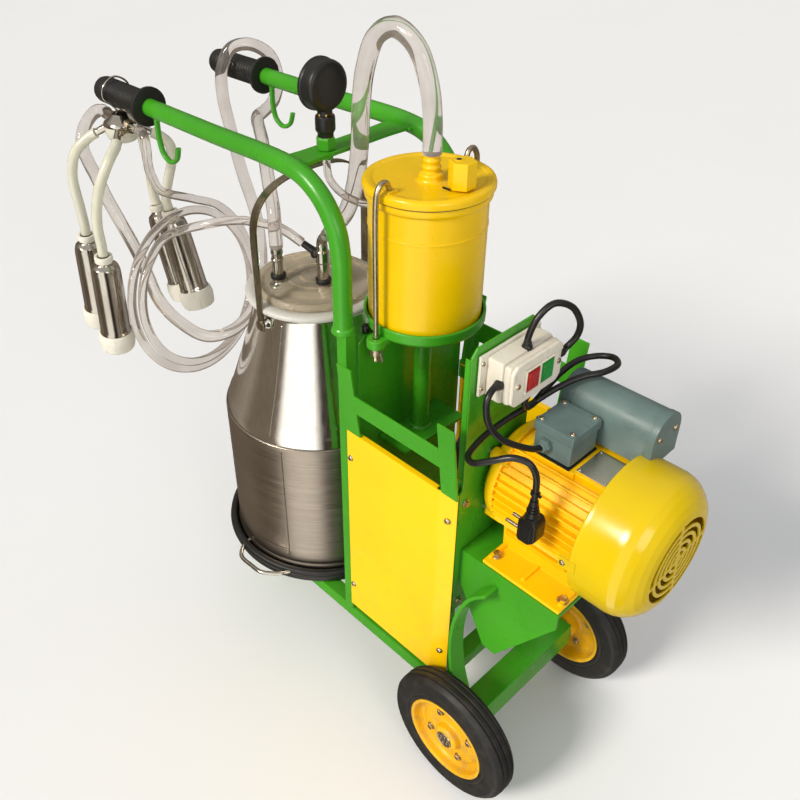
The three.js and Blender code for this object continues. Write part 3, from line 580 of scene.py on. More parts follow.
CUP_TUBES = [
    [(-578, -168, 762), (-590, -176, 720), (-589, -175, 668)],
    [(-480, -162, 776), (-480, -188, 736), (-486, -199, 684)],
    [(-484, -58, 770), (-502, -48, 734), (-526, -45, 695)],
    [(-578, -54, 768), (-592, -42, 732), (-602, -35, 688)],
]


def cup_route(index):
    dx, dy = NIPPLES[index]
    out = Vector((18 * dx, 18 * dy, -12)).normalized()
    nipple = CLAW + Vector((30 * dx, 30 * dy, -12))
    top, mouth = (Vector(p) for p in CUPS[index])
    up = (top - mouth).normalized()
    return [nipple + out * 0.8, nipple + out * 10, *CUP_TUBES[index], top + up * 16, top + up * 0.5]


# ---- cluster and its cords ----------------------------------------------------------------
SIDES = (("near", -1), ("far", 1))
HANDLE_Y, HANDLE_Z, GRIP_START = 105, 845, -442


def make_plug():
    x, y, z = POWER_CABLE[-1]
    plug = Piece()
    relief = [(0, 0), (4.8, 0), (5.2, -4)]
    for i in range(4):
        h = -5 - 3.6 * i
        relief += [(5.4 + 0.7 * i, h), (5.4 + 0.7 * i, h - 2), (4.6 + 0.7 * i, h - 2.6)]
        relief += [(4.8 + 0.7 * i, h - 3.4)]
    relief += [(9, -24), (9, -30), (0, -30)]
    plug.lathe(relief, (x, y, z - 0.4), (0, 0, 1), 32)
    outline = [
        (x - 12, z - 60), (x - 8, z - 62), (x + 5, z - 62), (x + 13, z - 54), (x + 13, z - 30),
        (x + 9, z - 23), (x - 1, z - 23), (x - 6, z - 28), (x - 12, z - 30),
    ]
    plug.prism(outline, "xz", y - 11, 22, 3.2)
    plug.prism([(x - 8, z - 57), (x + 8, z - 57), (x + 8, z - 34), (x - 8, z - 34)], "xz", y - 12, 24, 1.6)
    body = plug.done("plug_body", BLACK_PLASTIC, replaces="power_plug")
    pins = Piece()
    for _, side in SIDES:
        at = Vector((x - 11, y + 6.5 * side, z - 46))
        pins.rod(at, at - Vector((18.6, 0, 0)), 2.4, 2.3, 20, 1.2)
    metal = pins.done("plug_pins", ZINC)
    tie = Piece()
    tie.lathe([(4.1, -2), (5.6, -2), (5.6, 2), (4.1, 2)], (x - 0.2, y + 0.4, z + 9), (0, 0.25, 1), 24, True)
    tie.box(x + 4, y - 1.5, z + 7, x + 8, y + 1.5, z + 10, 0.6)
    strap = tie.done("cable_tie", BLACK_PLASTIC)
    return [body, metal, strap]


cord("power_cable_line", POWER_CABLE, 8, CABLE, with_pieces=make_plug())
cord("motor_cable_line", MOTOR_CABLE, 8, CABLE)
cord("switch_cable_line", SWITCH_CABLE, 8, CABLE)
cord("milk_hose_line", MILK_HOSE, 20, HOSE)
cord("pulse_hose_line", pulse_route(), 14, HOSE)
cord("vacuum_hose_line", VACUUM_HOSE, 23, HOSE)
cord("gauge_hose_line", GAUGE_HOSE, 10, HOSE)
for number in range(4):
    cord(f"cup_tube_{number + 1}_line", cup_route(number), 16, LINER)


def make_cup(number):
    top, mouth = (Vector(p) for p in CUPS[number])
    down = (mouth - top).normalized()
    long = (mouth - top).length
    shell = Piece()
    profile = [(0, 3), (12, 3), (12.5, 10), (13.5, 14), (20.5, 19), (22.5, 27), (23, 34)]
    profile += [(24, long - 8), (25.2, long - 4), (25.2, long + 1), (0, long + 1)]
    shell.turned(profile, 1.6, top, 56, down)
    shell.done(f"cup_shell_{number + 1}", STEEL, replaces=f"teat_cup_{number + 1}")
    liner = Piece()
    lip = [(14, long - 2), (27, long - 3), (28.4, long + 2), (29.6, long + 9), (28.2, long + 22)]
    lip += [(26.6, long + 29), (22, long + 31.6), (14, long + 31), (12.5, long + 26), (12.5, long + 4)]
    liner.ring(lip, 2.4, top, 56, down)
    ring = [(12.4, 0.6), (13.6, 0.6), (14.2, 5), (13.8, 11), (10, 11.5), (10, 0.6)]
    liner.ring(ring, 0.8, top, 40, down)
    liner.done(f"cup_mouth_{number + 1}", MOUTH)


for number in range(4):
    make_cup(number)


def make_claw():
    x, y, z = CLAW
    bowl = Piece()
    profile = [(0, -26), (10, -25.6), (18, -23), (25, -16), (27, -8), (27, 2), (0, 2)]
    bowl.turned(profile, 2, CLAW, 56)
    bowl.done("claw_bowl", LINER, replaces="milk_claw", slot="lid_clear")
    top = Piece()
    cap = [(0, 1), (28, 1), (28.4, 4), (26, 8), (18, 14), (14, 18), (9, 20.4), (0, 20.6)]
    top.turned(cap, 1.6, CLAW, 56)
    for dx, dy in NIPPLES:
        a = (x + 12 * dx, y + 12 * dy, z + 1)
        b = (x + 30 * dx, y + 30 * dy, z - 11.6)
        top.rod(a, b, 6.4, 5.4, 24, 1)
    top.rod((x + 12, y, z + 4), (x + 46, y - 4, z + 6), 6, 5, 24, 1)
    top.rod((x - 12, y, z + 6), (x - 44, y, z + 8), 8.4, 7.4, 24, 1)
    for i in range(4):
        barb = [(0, 0), (6.6, 0), (5.4, 4), (0, 4)]
        top.lathe(barb, (x + 26 + 4.6 * i, y - 1.4 - 0.5 * i, z + 4.7), X_AXIS, 24)
    top.done("claw_top", STEEL)
    clamp = Piece()
    for i in range(5):
        turn = [(7.8, -1), (9.6, -1), (9.6, 1), (7.8, 1)]
        clamp.ring(turn, 0.8, (x + 21 + 3.1 * i, y - 1 - 0.35 * i, z + 4.4), 28, (1, -0.1, 0.05))
    clamp.box(x + 30, y - 20, z - 2, x + 36, y - 9, z + 4, 1)
    clamp.screw((x + 33, y - 20, z + 1), (0, -1, 0), 4, "hex")
    clamp.done("claw_clamp", ZINC)
    hanger = Piece()
    line = [
        (x - 6, y, z + 19), (x - 8, y - 8, z + 30), (x - 8, y - 20, z + 44), (x - 7, y - 16, z + 60),
        (x - 6, y + 3, z + 70), (x - 5, y + 22, z + 58), (x - 5, y + 22, z + 36), (x - 4, y + 8, z + 22),
        (x - 4, y + 2, z + 18),
    ]
    hanger.tube(line, 1.5, 10, 3)
    hanger.done("claw_hanger", STEEL)


make_claw()


# ---- welded frame -------------------------------------------------------------------------
HALF_WIDTH, RAIL_BOTTOM, RAIL_TOP = 115, 112, 135
PANEL_BOTTOM, PANEL_TOP = 155, 505
BOX_REAR, BOX_FRONT, RAIL_END = -46, 157, -345
TUBE_RADIUS, HANDLE_X, HANDLE_BEND, HANDLE_FOOT = 12.5, -42, 95, 650


def side_box(piece, side, x0, y0, z0, x1, y1, z1, bevel=1.2):
    low, high = sorted((side * y0, side * y1))
    piece.box(x0, low, z0, x1, high, z1, bevel)


def make_chassis():
    p = Piece()
    for _, side in SIDES:
        side_box(p, side, RAIL_END, 87, RAIL_BOTTOM, BOX_FRONT - 1, 112, RAIL_TOP, 2.2)
        side_box(p, side, BOX_REAR, 96, RAIL_TOP - 1, BOX_REAR + 18, 114, HANDLE_FOOT - 0.3, 2)
        side_box(p, side, 137, 84, RAIL_TOP - 1, 153, 102, PANEL_TOP, 2)
        side_box(p, side, BOX_REAR + 1, 92, PANEL_TOP - 70, BOX_REAR + 17, 97, PANEL_TOP - 62, 1)
    for x in (RAIL_END, BOX_REAR, 130):
        p.box(x, -88, RAIL_BOTTOM, x + 25, 88, RAIL_TOP, 2.2)
    for x in (RAIL_END + 25, BOX_REAR, BOX_REAR + 25, 130):
        for _, side in SIDES:
            bead = [(x, side * 87, RAIL_BOTTOM + 3), (x, side * 87.2, 124), (x, side * 87, RAIL_TOP - 2)]
            p.tube(bead, 2.0, 10, 3)
    p.done("chassis", GREEN, replaces="chassis_frame")
    caps = Piece()
    for _, side in SIDES:
        side_box(caps, side, RAIL_END - 1.4, 89, RAIL_BOTTOM + 2, RAIL_END + 2, 110, RAIL_TOP - 2, 1)
    caps.done("rail_end_caps", BLACK_PLASTIC)


def make_stand():
    x, y, foot, top = -270, 80, 9, RAIL_BOTTOM - 0.3
    p = Piece()
    line = [(x, -y, top), (x, -y, 60), (x, -y, 24), (x, -y + 5, 12), (x, -y + 17, foot), (x, 0, foot)]
    line += [(a, -b, c) for a, b, c in reversed(line[:-1])]
    p.tube(line, foot - 0.1, 24, 4)
    p.box(x - 12, -108, top - 4, x + 12, 108, top, 1)
    for _, side in SIDES:
        p.ring([(9, 0), (13, 0), (9, -5)], 1, (x, side * y, top - 3.6), 28)
    p.done("stand", GREEN, replaces="stand_leg")


def make_handle():
    p = Piece()
    centre = (HANDLE_X - HANDLE_BEND, HANDLE_Z - HANDLE_BEND)
    bend = []
    for degrees in (0, 22.5, 45, 67.5, 90):
        a = math.radians(degrees)
        bend.append((centre[0] + HANDLE_BEND * math.cos(a), centre[1] + HANDLE_BEND * math.sin(a)))
    for _, side in SIDES:
        y = side * HANDLE_Y
        line = [(HANDLE_X, HANDLE_FOOT), (HANDLE_X, 700), *bend, (-300, HANDLE_Z + 0.5)]
        line += [(GRIP_START - 60, HANDLE_Z + 1.5), (-564, HANDLE_Z + 2)]
        p.tube([(x, y, z) for x, z in line], TUBE_RADIUS, 40, 5)
        x = GRIP_START + 14
        hook = [
            (x, y, HANDLE_Z - 6), (x, y, HANDLE_Z - 45), (x + 6, y, HANDLE_Z - 62),
            (x + 22, y, HANDLE_Z - 70), (x + 40, y, HANDLE_Z - 62), (x + 48, y, HANDLE_Z - 44),
        ]
        p.tube(hook, 4.4, 16, 3, 0.75)
        p.tube([(x - 6, y, HANDLE_Z - 11), (x, y, HANDLE_Z - 13.5), (x + 6, y, HANDLE_Z - 11)], 3, 10, 2)
        collar = [(12, -2), (15.2, -2), (14.6, 4), (12.2, 7)]
        p.ring(collar, 1, (HANDLE_X, y, HANDLE_FOOT + 1), 40)
    top = HANDLE_Z + 1
    outline = [
        (-160, -99), (-118, -99), (-121, -60), (-121, 60), (-118, 99), (-160, 99), (-157, 60),
        (-157, -60),
    ]
    p.prism(outline, "xy", top - 5, 5, 1)
    for _, side in SIDES:
        for x in (-160, -118):
            p.tube([(x, side * 97, top - 3), (x, side * 93, top - 2), (x, side * 88, top - 4)], 2.4, 10, 2)
    p.done("handle", GREEN, replaces="handle_frame")


def make_grip(name, side):
    p = Piece()
    z = HANDLE_Z + 1.5
    profile = [(13, 0), (26, 0), (28, 1.5), (28, 5.5), (26, 7.2), (20.5, 8.6), (18.6, 11)]
    for i in range(15):
        h = 17 + i * 6.4
        profile += [(18.8, h), (19.5, h + 1.2), (19.5, h + 3.8), (18.8, h + 5)]
    profile += [(19.2, 116), (19.6, 121), (18.4, 126), (14, 128.4), (0, 129)]
    p.lathe([(0, 0), *profile], (GRIP_START, side * HANDLE_Y, z), (-1, 0, 0.004), 64)
    p.done(f"{name}_hand_grip", GRIP, replaces=f"{name}_grip")


def make_panel(name, side):
    inner = HALF_WIDTH + 0.3
    outline = [(-27, inner), (-27, inner + 2), (138, inner + 2), (140, inner + 1.4), (163, inner - 7)]
    outline += [(162, inner - 9), (139.5, inner - 0.6), (138, inner)]
    p = Piece()
    p.prism([(x, side * y) for x, y in outline], "xy", PANEL_BOTTOM, PANEL_TOP - PANEL_BOTTOM, 0.7)
    for z0, z1 in ((PANEL_BOTTOM, PANEL_BOTTOM + 2), (PANEL_TOP - 2, PANEL_TOP)):
        side_box(p, side, -22, inner - 6, z0, 134, inner + 1, z1, 0.5)
    p.done(f"{name}_panel", YELLOW, replaces=f"{name}_side_panel")
    screws = Piece()
    for z in (204, 459):
        screws.screw((-20, side * (inner + 2), z), (0, side, 0), 4.6)
        screws.screw((152, side * (inner - 2.5), z), (0.34, side * 0.94, 0), 4.6)
    screws.done(f"{name}_panel_screws", ZINC)


def make_h_bracket(name, side):
    left, right, low, bar_low, bar_top, top = (-27, -1), (143, 169), 1, 44, 74, 116
    outline = [
        (left[0], low), (left[1], low), (left[1], bar_low), (right[0], bar_low), (right[0], low),
        (right[1], low), (right[1], top), (right[0], top), (right[0], bar_top),
        (left[1], bar_top), (left[1], top), (left[0], top),
    ]
    lean = math.radians(7)
    points = []
    for out in (0, 3):
        for x, z in outline:
            y = HALF_WIDTH + out * math.cos(lean) + z * math.sin(lean)
            points.append((x, side * y, PANEL_TOP + z * math.cos(lean) - out * math.sin(lean)))
    p = Piece()
    p.shell(points, pair_faces(len(outline)), 0.7)
    side_box(p, side, left[0], 111.5, PANEL_TOP - 26, left[1], 114.8, PANEL_TOP + 4, 0.6)
    p.done(f"{name}_bracket", GREEN, replaces=f"{name}_h_bracket")


def make_walls():
    outline = [
        (-102, 284), (102, 284), (102, 500), (22, 545), (22, 700), (12, 710), (-88, 710),
        (-97, 700), (-97, 504), (-102, 500),
    ]
    p = Piece()
    p.prism(outline, "yz", BOX_FRONT, 3, 0.7)
    p.box(150, -97, 520, 159, -94.5, 696, 0.8)
    p.box(150, 19.5, 552, 159, 22, 696, 0.8)
    p.done("switch_wall", GREEN, replaces="front_wall")
    bolts = Piece()
    for y, z in ((-74, 676), (8, 676)):
        bolts.screw((157, y, z), (-1, 0, 0), 4, "hex")
    for y, z in ((-90, 300), (90, 300), (-90, 480), (90, 480)):
        bolts.screw((160, y, z), X_AXIS, 4.4, "hex")
    bolts.done("wall_bolts", ZINC)
    rear = Piece()
    x = BOX_REAR + 19
    cut = [(-94, 136), (94, 136), (94, 632), (86, 640), (-86, 640), (-94, 632)]
    rear.prism(cut, "yz", x, 2, 0.6)
    rear.box(x - 8, -93, 638, x + 1, 93, 640, 0.6)
    for z in (250, 430):
        rear.tube([(x - 0.5, -80, z), (x - 1.2, 0, z), (x - 0.5, 80, z)], 2, 10, 6)
    rear.done("rear_sheet", GREEN, replaces="rear_wall")
    knobs = Piece()
    for _, side in SIDES:
        knobs.turned([(0, 0), (5, 0), (6, 3), (6, 9), (4, 11), (0, 11)], 1, (x - 4, side * 76, 640), 24)
    knobs.done("sheet_knobs", BLACK_PLASTIC)


make_chassis()
make_stand()
make_handle()
for name, side in SIDES:
    make_grip(name, side)
    make_panel(name, side)
    make_h_bracket(name, side)
make_walls()


# ---- motor platform and wheels ------------------------------------------------------------
WHEEL_X, WHEEL_Y, WHEEL_RADIUS, AXLE_RADIUS = 208, 140, 100, 10
PLATFORM_TOP = 400


def strip_outline(middle, thickness):
    left, right = [], []
    for i, (u, v) in enumerate(middle):
        (au, av), (bu, bv) = middle[max(0, i - 1)], middle[min(len(middle) - 1, i + 1)]
        length = math.hypot(bu - au, bv - av)
        du, dv = -(bv - av) / length * thickness / 2, (bu - au) / length * thickness / 2
        left.append((u + du, v + dv))
        right.append((u - du, v - dv))
    return left + right[::-1]


def make_platform():
    top, start = PLATFORM_TOP, BOX_FRONT + 3.3
    p = Piece()
    p.box(start, -92, top - 6, 311, 92, top, 1)
    gusset = [(start, top - 5), (start, 345), (208, 252), (229, 250), (311, 376), (311, top - 5)]
    for y in (-92, 88):
        p.prism(gusset, "xz", y, 4, 0.8)
    guide = [(222, 380), (200, 356), (184, 322), (174, 276), (173, 226), (180, 176), (196, 122)]
    curve = [(q.x, q.z) for q in smooth_line([(x, 0, z) for x, z in guide], 9)]
    for y in (-117, 90):
        p.prism(strip_outline(curve, 5), "xz", y, 27, 0.8)
    p.box(189, -117, 82, 227, 117, 126, 2.2)
    for y in (-117, 117):
        boss = [(10.4, -1.5), (17, -1.5), (17, 1.5), (10.4, 1.5)]
        p.ring(boss, 0.6, (WHEEL_X, y * 0.995, WHEEL_RADIUS), 36, (0, 1, 0))
    p.done("platform", GREEN, replaces="motor_platform")
    spots = [(178.5 - drop * 0.12, y, 316 - drop) for y in (-104, 104) for drop in (0, 14)]
    fasteners("strip_rivets", spots, (-0.97, 0, 0.2), 3.4)


def make_axle():
    p = Piece()
    p.rod((WHEEL_X, -158, WHEEL_RADIUS), (WHEEL_X, 158, WHEEL_RADIUS), AXLE_RADIUS, None, 40, 1.5)
    for _, side in SIDES:
        y = side * 118.2
        washer = [(9.9, -1), (19, -1), (19, 1), (9.9, 1)]
        p.ring(washer, 0.4, (WHEEL_X, y + side * 1.2, WHEEL_RADIUS), 40, (0, 1, 0))
    p.done("axle_bar", ZINC, replaces="axle")


def make_wheel(name, side):
    body = f"{name}_wheel"
    centre = (WHEEL_X, side * WHEEL_Y, WHEEL_RADIUS)
    profile = [
        (10.6, 19), (16, 19), (19.5, 16), (20, 8), (23, 5.6), (30, 5), (33, 6.6), (46, 6.6), (50, 4.4),
        (54.5, 4.6), (57.4, 9), (58.6, 17.2), (60, 19.4), (63.6, 19.6), (64.4, 18), (62.6, 14.6),
        (62, 6), (62, -6), (62.6, -14.6), (64.4, -18), (63.6, -19.6), (60, -19.4), (58.4, -17),
        (57, -4), (54, 0.6), (46, 2.4), (24, 2), (20, 0), (19.5, -17), (16, -19), (10.6, -19),
    ]
    rim = Piece()
    rim.ring(profile, 1.2, centre, 96, (0, side, 0))
    rim.done(f"{name}_rim", RIM_YELLOW, body, replaces=f"{name}_wheel_rim")
    half = [
        (63.2, -15.6), (65.4, -18.6), (69, -19.4), (72, -18.6), (73.5, -19.4), (82, -19.9), (90, -19.4),
        (94.4, -17.6), (97, -14.6), (98.4, -12.6), (99.4, -11), (97.2, -10.2), (97.2, -8.2),
        (99.8, -7.4), (99.9, -1.8), (97.4, -1), (97.4, 0),
    ]
    tread = half + [(r, -h) for r, h in reversed(half[:-1])]
    tyre = Piece()
    tyre.ring(tread, 0.7, centre, 128, (0, side, 0))
    tyre.done(f"{name}_tyre_cover", TYRE, body, replaces=f"{name}_tyre")
    cap = Piece()
    face = centre[1] + side * 19
    at = (WHEEL_X, face, WHEEL_RADIUS)
    disc = [(0, -1), (12.6, -1), (13, 0.2), (12.4, 1.4), (11, 1.8), (10.2, 1.2), (0, 1.6)]
    cap.lathe(disc, at, (0, side, 0), 48)
    for i in range(6):
        a = math.radians(60 * i + 20)
        u, v = across((0, side, 0))
        spot = Vector(at) + (u * math.cos(a) + v * math.sin(a)) * 6.6 + Vector((0, side * 1.3, 0))
        cap.lathe([(0, 0), (1.9, 0), (1.5, 0.8), (0, 1)], spot, (0, side, 0), 12)
    for i in range(4):
        a = math.radians(90 * i + 28)
        spot = Vector(centre) + Vector((math.cos(a) * 39, side * 6.4, math.sin(a) * 39))
        cap.screw(spot, (0, side, 0), 4.6, "hex")
        back = Vector((spot.x, centre[1] + side * 2.2, spot.z))
        cap.screw(back, (0, -side, 0), 4.6, "hex")
    cap.done(f"{name}_wheel_bolts", ZINC, body)


make_platform()
make_axle()
for name, side in SIDES:
    make_wheel(name, side)


# ---- vacuum tank --------------------------------------------------------------------------
TANK_RADIUS, TANK_BOTTOM, TANK_TOP, LID_RADIUS, LID_TOP, HOOK_Y = 73, 648.3, 827, 80, 839, 88


def make_tank():
    p = Piece()
    cup = [
        (0, 643), (70, 643), (76, 645), (79, 649), (79.4, 661), (78.4, 662.4), (75.6, 662.4),
        (75, 651), (72, 647.6), (0, 647.6),
    ]
    p.turned(cup, 1.4, (0, 0, 0), 96)
    p.rod((0, 0, 463), (0, 0, 644), 12, None, 40, 0.6)
    p.box(-24.6, -60, 459, 30, 60, 465, 1.2)
    p.ring([(12, 464.6), (16, 464.6), (15.4, 467), (12.4, 470)], 1, (0, 0, 0), 40)
    for _, side in SIDES:
        side_box(p, side, -12, 74, 642.2, 12, 84, 650, 1.4)
        lug = [(4.3, 638), (11.6, 638), (12, 640), (12, 649), (11.4, 650.4), (4.3, 650.4)]
        p.ring(lug, 0.8, (0, side * HOOK_Y, 0), 40)
    p.done("tank_cradle", GREEN, replaces="tank_support")
    body = Piece()
    profile = [
        (0, TANK_BOTTOM + 0.4), (66, TANK_BOTTOM + 0.4), (72, 652), (TANK_RADIUS, 659), (TANK_RADIUS, 812),
        (73.4, 815), (77, 818), (77.4, 822), (77, TANK_TOP), (68, TANK_TOP), (0, TANK_TOP),
    ]
    body.turned(profile, 2, (0, 0, 0), 128)
    seam = [(72.6, 780), (73.8, 780.5), (73.8, 783.5), (72.6, 784)]
    body.ring(seam, 0.5, (0, 0, 0), 128)
    body.rod((-74, -18.6, 785), (-66, -16.6, 785), 7, 7, 24, 1)
    body.done("tank_shell", TANK_YELLOW, replaces="tank_body")
    lid = Piece()
    profile = [
        (0, 827.4), (79, 827.4), (LID_RADIUS, 829), (LID_RADIUS, 834), (79, 837), (75.4, LID_TOP),
        (70, 838.6), (66.6, 837.4), (24, 837.2), (16.4, 838.4), (15, 841), (15, 845), (13.4, 847),
        (10.6, 847.6), (10.2, 851), (11.4, 852.4), (11.4, 854.6), (9.8, 856), (9.6, 859),
        (10.8, 860.6), (10.8, 862.6), (9.4, 864), (9, 868), (0, 868),
    ]
    lid.turned([*profile[:8], (0, 837.3)], 1.2, (0, 0, 0), 128)
    spout = [(0, 836), (24, 836), *profile[9:]]
    lid.turned(spout, 1, (8, -5, 0), 48)
    for _, side in SIDES:
        side_box(lid, side, -7, 58, 836, 7, 74, 840.5, 1.4)
    lid.done("tank_cover", TANK_YELLOW, replaces="tank_lid")
    seal = Piece()
    seal.ring([(66, 826.6), (78.6, 826.6), (78.6, 828.2), (66, 828.2)], 0.5, (0, 0, 0), 96)
    seal.done("tank_seal", BLACK_PLASTIC)


def make_regulator():
    p = Piece()
    body = [(0, 0), (15.8, 0), (16.2, 1.2), (16.2, 31), (15, 32.2), (0, 32.2)]
    p.turned(body, 0.8, (52, -2, 839.6), 6)
    collar = [(3.2, 31.8), (5.6, 31.8), (5.6, 33), (3.2, 33)]
    p.ring(collar, 0.4, (48, -4, 839.6), 28)
    p.done("regulator_block", TANK_YELLOW, replaces="vacuum_regulator")
    # Painted shade: a black disc fills the bore of the top collar, and a thin black strip lies on the lid
    # against the block's foot.
    port_shade = Piece()
    port_shade.lathe([(0, 0), (3.3, 0), (3.3, 0.5), (0, 0.5)], (48, -4, 872), (0, 0, 1), 24)
    port_shade.box(38, -19.5, 839.2, 49, -17.5, 841.4, 0.5)
    port_shade.done("regulator_painted_shade", BLACK_PLASTIC)


def make_clamp(name, side):
    body = f"{name}_clamp"
    y = side * HOOK_Y
    p = Piece()
    line = [(0, y, 616), (0, y, 700), (0, y, 826), (0, y - side * 2, 842), (0, y - side * 9, 851)]
    line += [(0, y - side * 17, 850), (0, y - side * 21.4, 841.6)]
    p.tube(line, 3.5, 20, 3)
    for i in range(9):
        p.ring([(3.2, -0.9), (3.9, 0), (3.2, 0.9)], 0.2, (0, y, 618 + 2.1 * i), 20)
    p.done(f"{name}_hook_bolt", ZINC, body, replaces=f"{name}_clamp_rod")
    nut = Piece()
    nut.ring([(3.7, 0), (8.6, 0), (8.2, 3), (6.6, 9), (3.7, 10)], 0.8, (0, y, 627), 32)
    nut.ring([(3.7, 0), (10.4, 0), (10.4, 1.6), (3.7, 1.6)], 0.4, (0, y, 636.2), 36)
    for s in (-1, 1):
        wing = [(s * 6, 634), (s * 13, 630), (s * 18, 621), (s * 15, 617), (s * 9, 622), (s * 5, 627)]
        nut.prism([(u * 0.72, v) for u, v in wing], "xz", y - 1.7, 3.4, 1.2)
    nut.done(f"{name}_wing_nut", ZINC, body)


make_tank()
make_regulator()
for name, side in SIDES:
    make_clamp(name, side)


# ---- bucket -------------------------------------------------------------------------------
BUCKET_X, BUCKET_RADIUS, BUCKET_BOTTOM = -221, 152, 147.6
SHOULDER_Z, BAIL_Z = 405, 578
MILK_PIPE, VACUUM_PIPE = (-249, -45), (-191, -8)


def make_tray():
    p = Piece()
    profile = [
        (0, 135.6), (150, 135.6), (160, 136.6), (166, 140), (167.8, 147), (168.4, 158), (167.4, 161.4),
        (163.4, 162.4), (159, 161.6), (157, 158), (156.4, 150), (153, 147.4), (0, 147.3),
    ]
    p.turned(profile, 1.6, (BUCKET_X, 0, 0), 160)
    bead = [(167, 150), (169.4, 151), (169.4, 154), (167, 155)]
    p.ring(bead, 0.6, (BUCKET_X, 0, 0), 160)
    p.done("tray", TRAY, replaces="bucket_tray")


def make_bucket():
    centre = (BUCKET_X, 0, 0)
    r, base = BUCKET_RADIUS, BUCKET_BOTTOM
    wall = Piece()
    profile = [
        (0, base + 0.2), (142, base + 0.2), (148, base + 2), (151.4, base + 6), (r + 1.6, base + 9),
        (r + 2.2, base + 12), (r + 1.2, base + 15), (r, base + 18), (r, 398), (r - 0.4, 402),
        (r - 2, SHOULDER_Z), (144, 407), (0, 407),
    ]
    wall.turned(profile, 1.6, centre, 192)
    wall.done("bucket_wall", WALL, replaces="bucket_body")
    cone = Piece()
    profile = [
        (149.6, 405.4), (148.4, 412), (146.6, 419), (141, 430), (120, 490), (100, 556), (93, 582),
        (91.6, 590), (93.6, 593.6), (97, 595), (97, 597), (88, 597), (86, 590), (90, 560), (135, 430),
        (144, 406),
    ]
    cone.ring(profile, 4, centre, 192)
    for _, side in SIDES:
        ear = [(0, -14), (10, -14), (10, 0), (7.2, 4), (7, 6), (0, 6.4)]
        cone.turned(ear, 1, (BUCKET_X, side * 95, BAIL_Z), 36, (0, side, 0))
        side_box(cone, side, BUCKET_X - 12, 91, BAIL_Z - 16, BUCKET_X + 12, 94.5, BAIL_Z + 12, 1.4)
    cone.done("bucket_cone", CONE)
    welds = Piece()
    ring = [(r - 1.2, 402.4), (r + 0.1, 403.6), (r - 0.2, 405.6), (r - 2.4, 407)]
    welds.ring(ring, 0.6, centre, 192)
    slope = [(146.9, 418), (120.4, 490), (100.5, 556), (93.6, 582)]
    upright = [(r + 0.1, base + 20), (r + 0.1, 280), (r + 0.1, 400)]
    for degrees, line in ((-64, upright), (-72, slope), (112, slope)):
        a = math.radians(degrees)
        points = [(BUCKET_X + q * math.cos(a), q * math.sin(a), z) for q, z in line]
        welds.tube(points, 0.9, 8, 8)
    welds.done("bucket_welds", WALL)
    handle = Piece()
    z = base + 8
    line = [
        (-246, -150, z), (-245, -160, z), (-238, -174, z - 1), (-226, -184, z - 2),
        (-200, -184.4, z - 2), (-178, -182, z - 2), (-160, -170, z - 1), (-147, -157, z),
        (-143, -148, z),
    ]
    handle.tube(line, 3.4, 16, 3)
    far = [(2 * BUCKET_X - x, -y * (1 if abs(y) < 171 else 0.97), q) for x, y, q in line]
    handle.tube(far, 3.4, 16, 3)
    handle.done("grab_handles", STEEL)


def make_bucket_lid():
    centre = (BUCKET_X, 0, 0)
    gasket = Piece()
    profile = [
        (84, 597.4), (99, 597.2), (103, 599), (104.4, 602.4), (103, 606), (99, 608), (94, 608.4),
        (88, 607.2), (84, 606.6),
    ]
    gasket.ring(profile, 2.2, centre, 128)
    gasket.done("neck_gasket", SOFT_GREY, replaces="bucket_gasket")
    lid = Piece()
    profile = [
        (0, 606.8), (86, 606.8), (88, 608.6), (88.4, 613), (87, 617), (83, 618.4), (79.6, 616.6),
        (78, 612.6), (70, 611.6), (60, 612.4), (54, 616), (50, 618.4), (30, 619.4), (0, 619.6),
    ]
    lid.turned(profile, 2, centre, 128)
    for radius, height in ((38, 619.2), (20, 619.6)):
        rib = [(radius - 2.4, height - 1), (radius, height + 1.6), (radius + 2.4, height - 1)]
        lid.ring(rib, 0.8, centre, 96)
    lid.done("bucket_cover", LID, replaces="bucket_lid")
    spout = Piece()
    x, y = MILK_PIPE
    profile = [
        (0, 606), (14, 606), (14, 613), (9, 616), (8, 618), (8, 652), (9.2, 653), (9.2, 655),
        (8, 656), (8, 662), (9.2, 663.6), (8.4, 671), (6, 671.6), (0, 671.6),
    ]
    spout.turned(profile, 0.8, (x, y, 0), 40)
    spout.done("milk_pipe", STEEL, replaces="milk_spout")
    tee = Piece()
    x, y = VACUUM_PIPE
    profile = [
        (0, 606), (14, 606), (14, 614), (9.4, 617), (8.4, 619), (8.4, 656), (10, 657.4), (10, 674),
        (8.4, 676), (8, 684), (0, 684),
    ]
    tee.turned(profile, 0.8, (x, y, 0), 40)
    tee.tube([(x, y, 676), (x, y, 688), (x + 5, y, 696), (x + 14, y, 702)], 7.6, 28, 2)
    tee.done("vacuum_pipe", STEEL, replaces="vacuum_tee")
    black = Piece()
    low = 622
    for spot in ((*MILK_PIPE, 0), (*VACUUM_PIPE, 0)):
        black.ring([(7.8, low), (11.6, low + 1), (11.6, low + 8), (7.8, low + 9)], 1.4, spot, 40)
    barb_a, barb_b = Vector((x, y, 664)), Vector((-217, -22, 682))
    black.rod(barb_a, barb_b, 6.2, 5, 24, 0.8)
    black.turned([(0, 8), (9.4, 8), (9.4, 13), (7, 16), (0, 16)], 1, barb_a, 32, barb_b - barb_a)
    black.done("vacuum_barb", BLACK_PLASTIC)


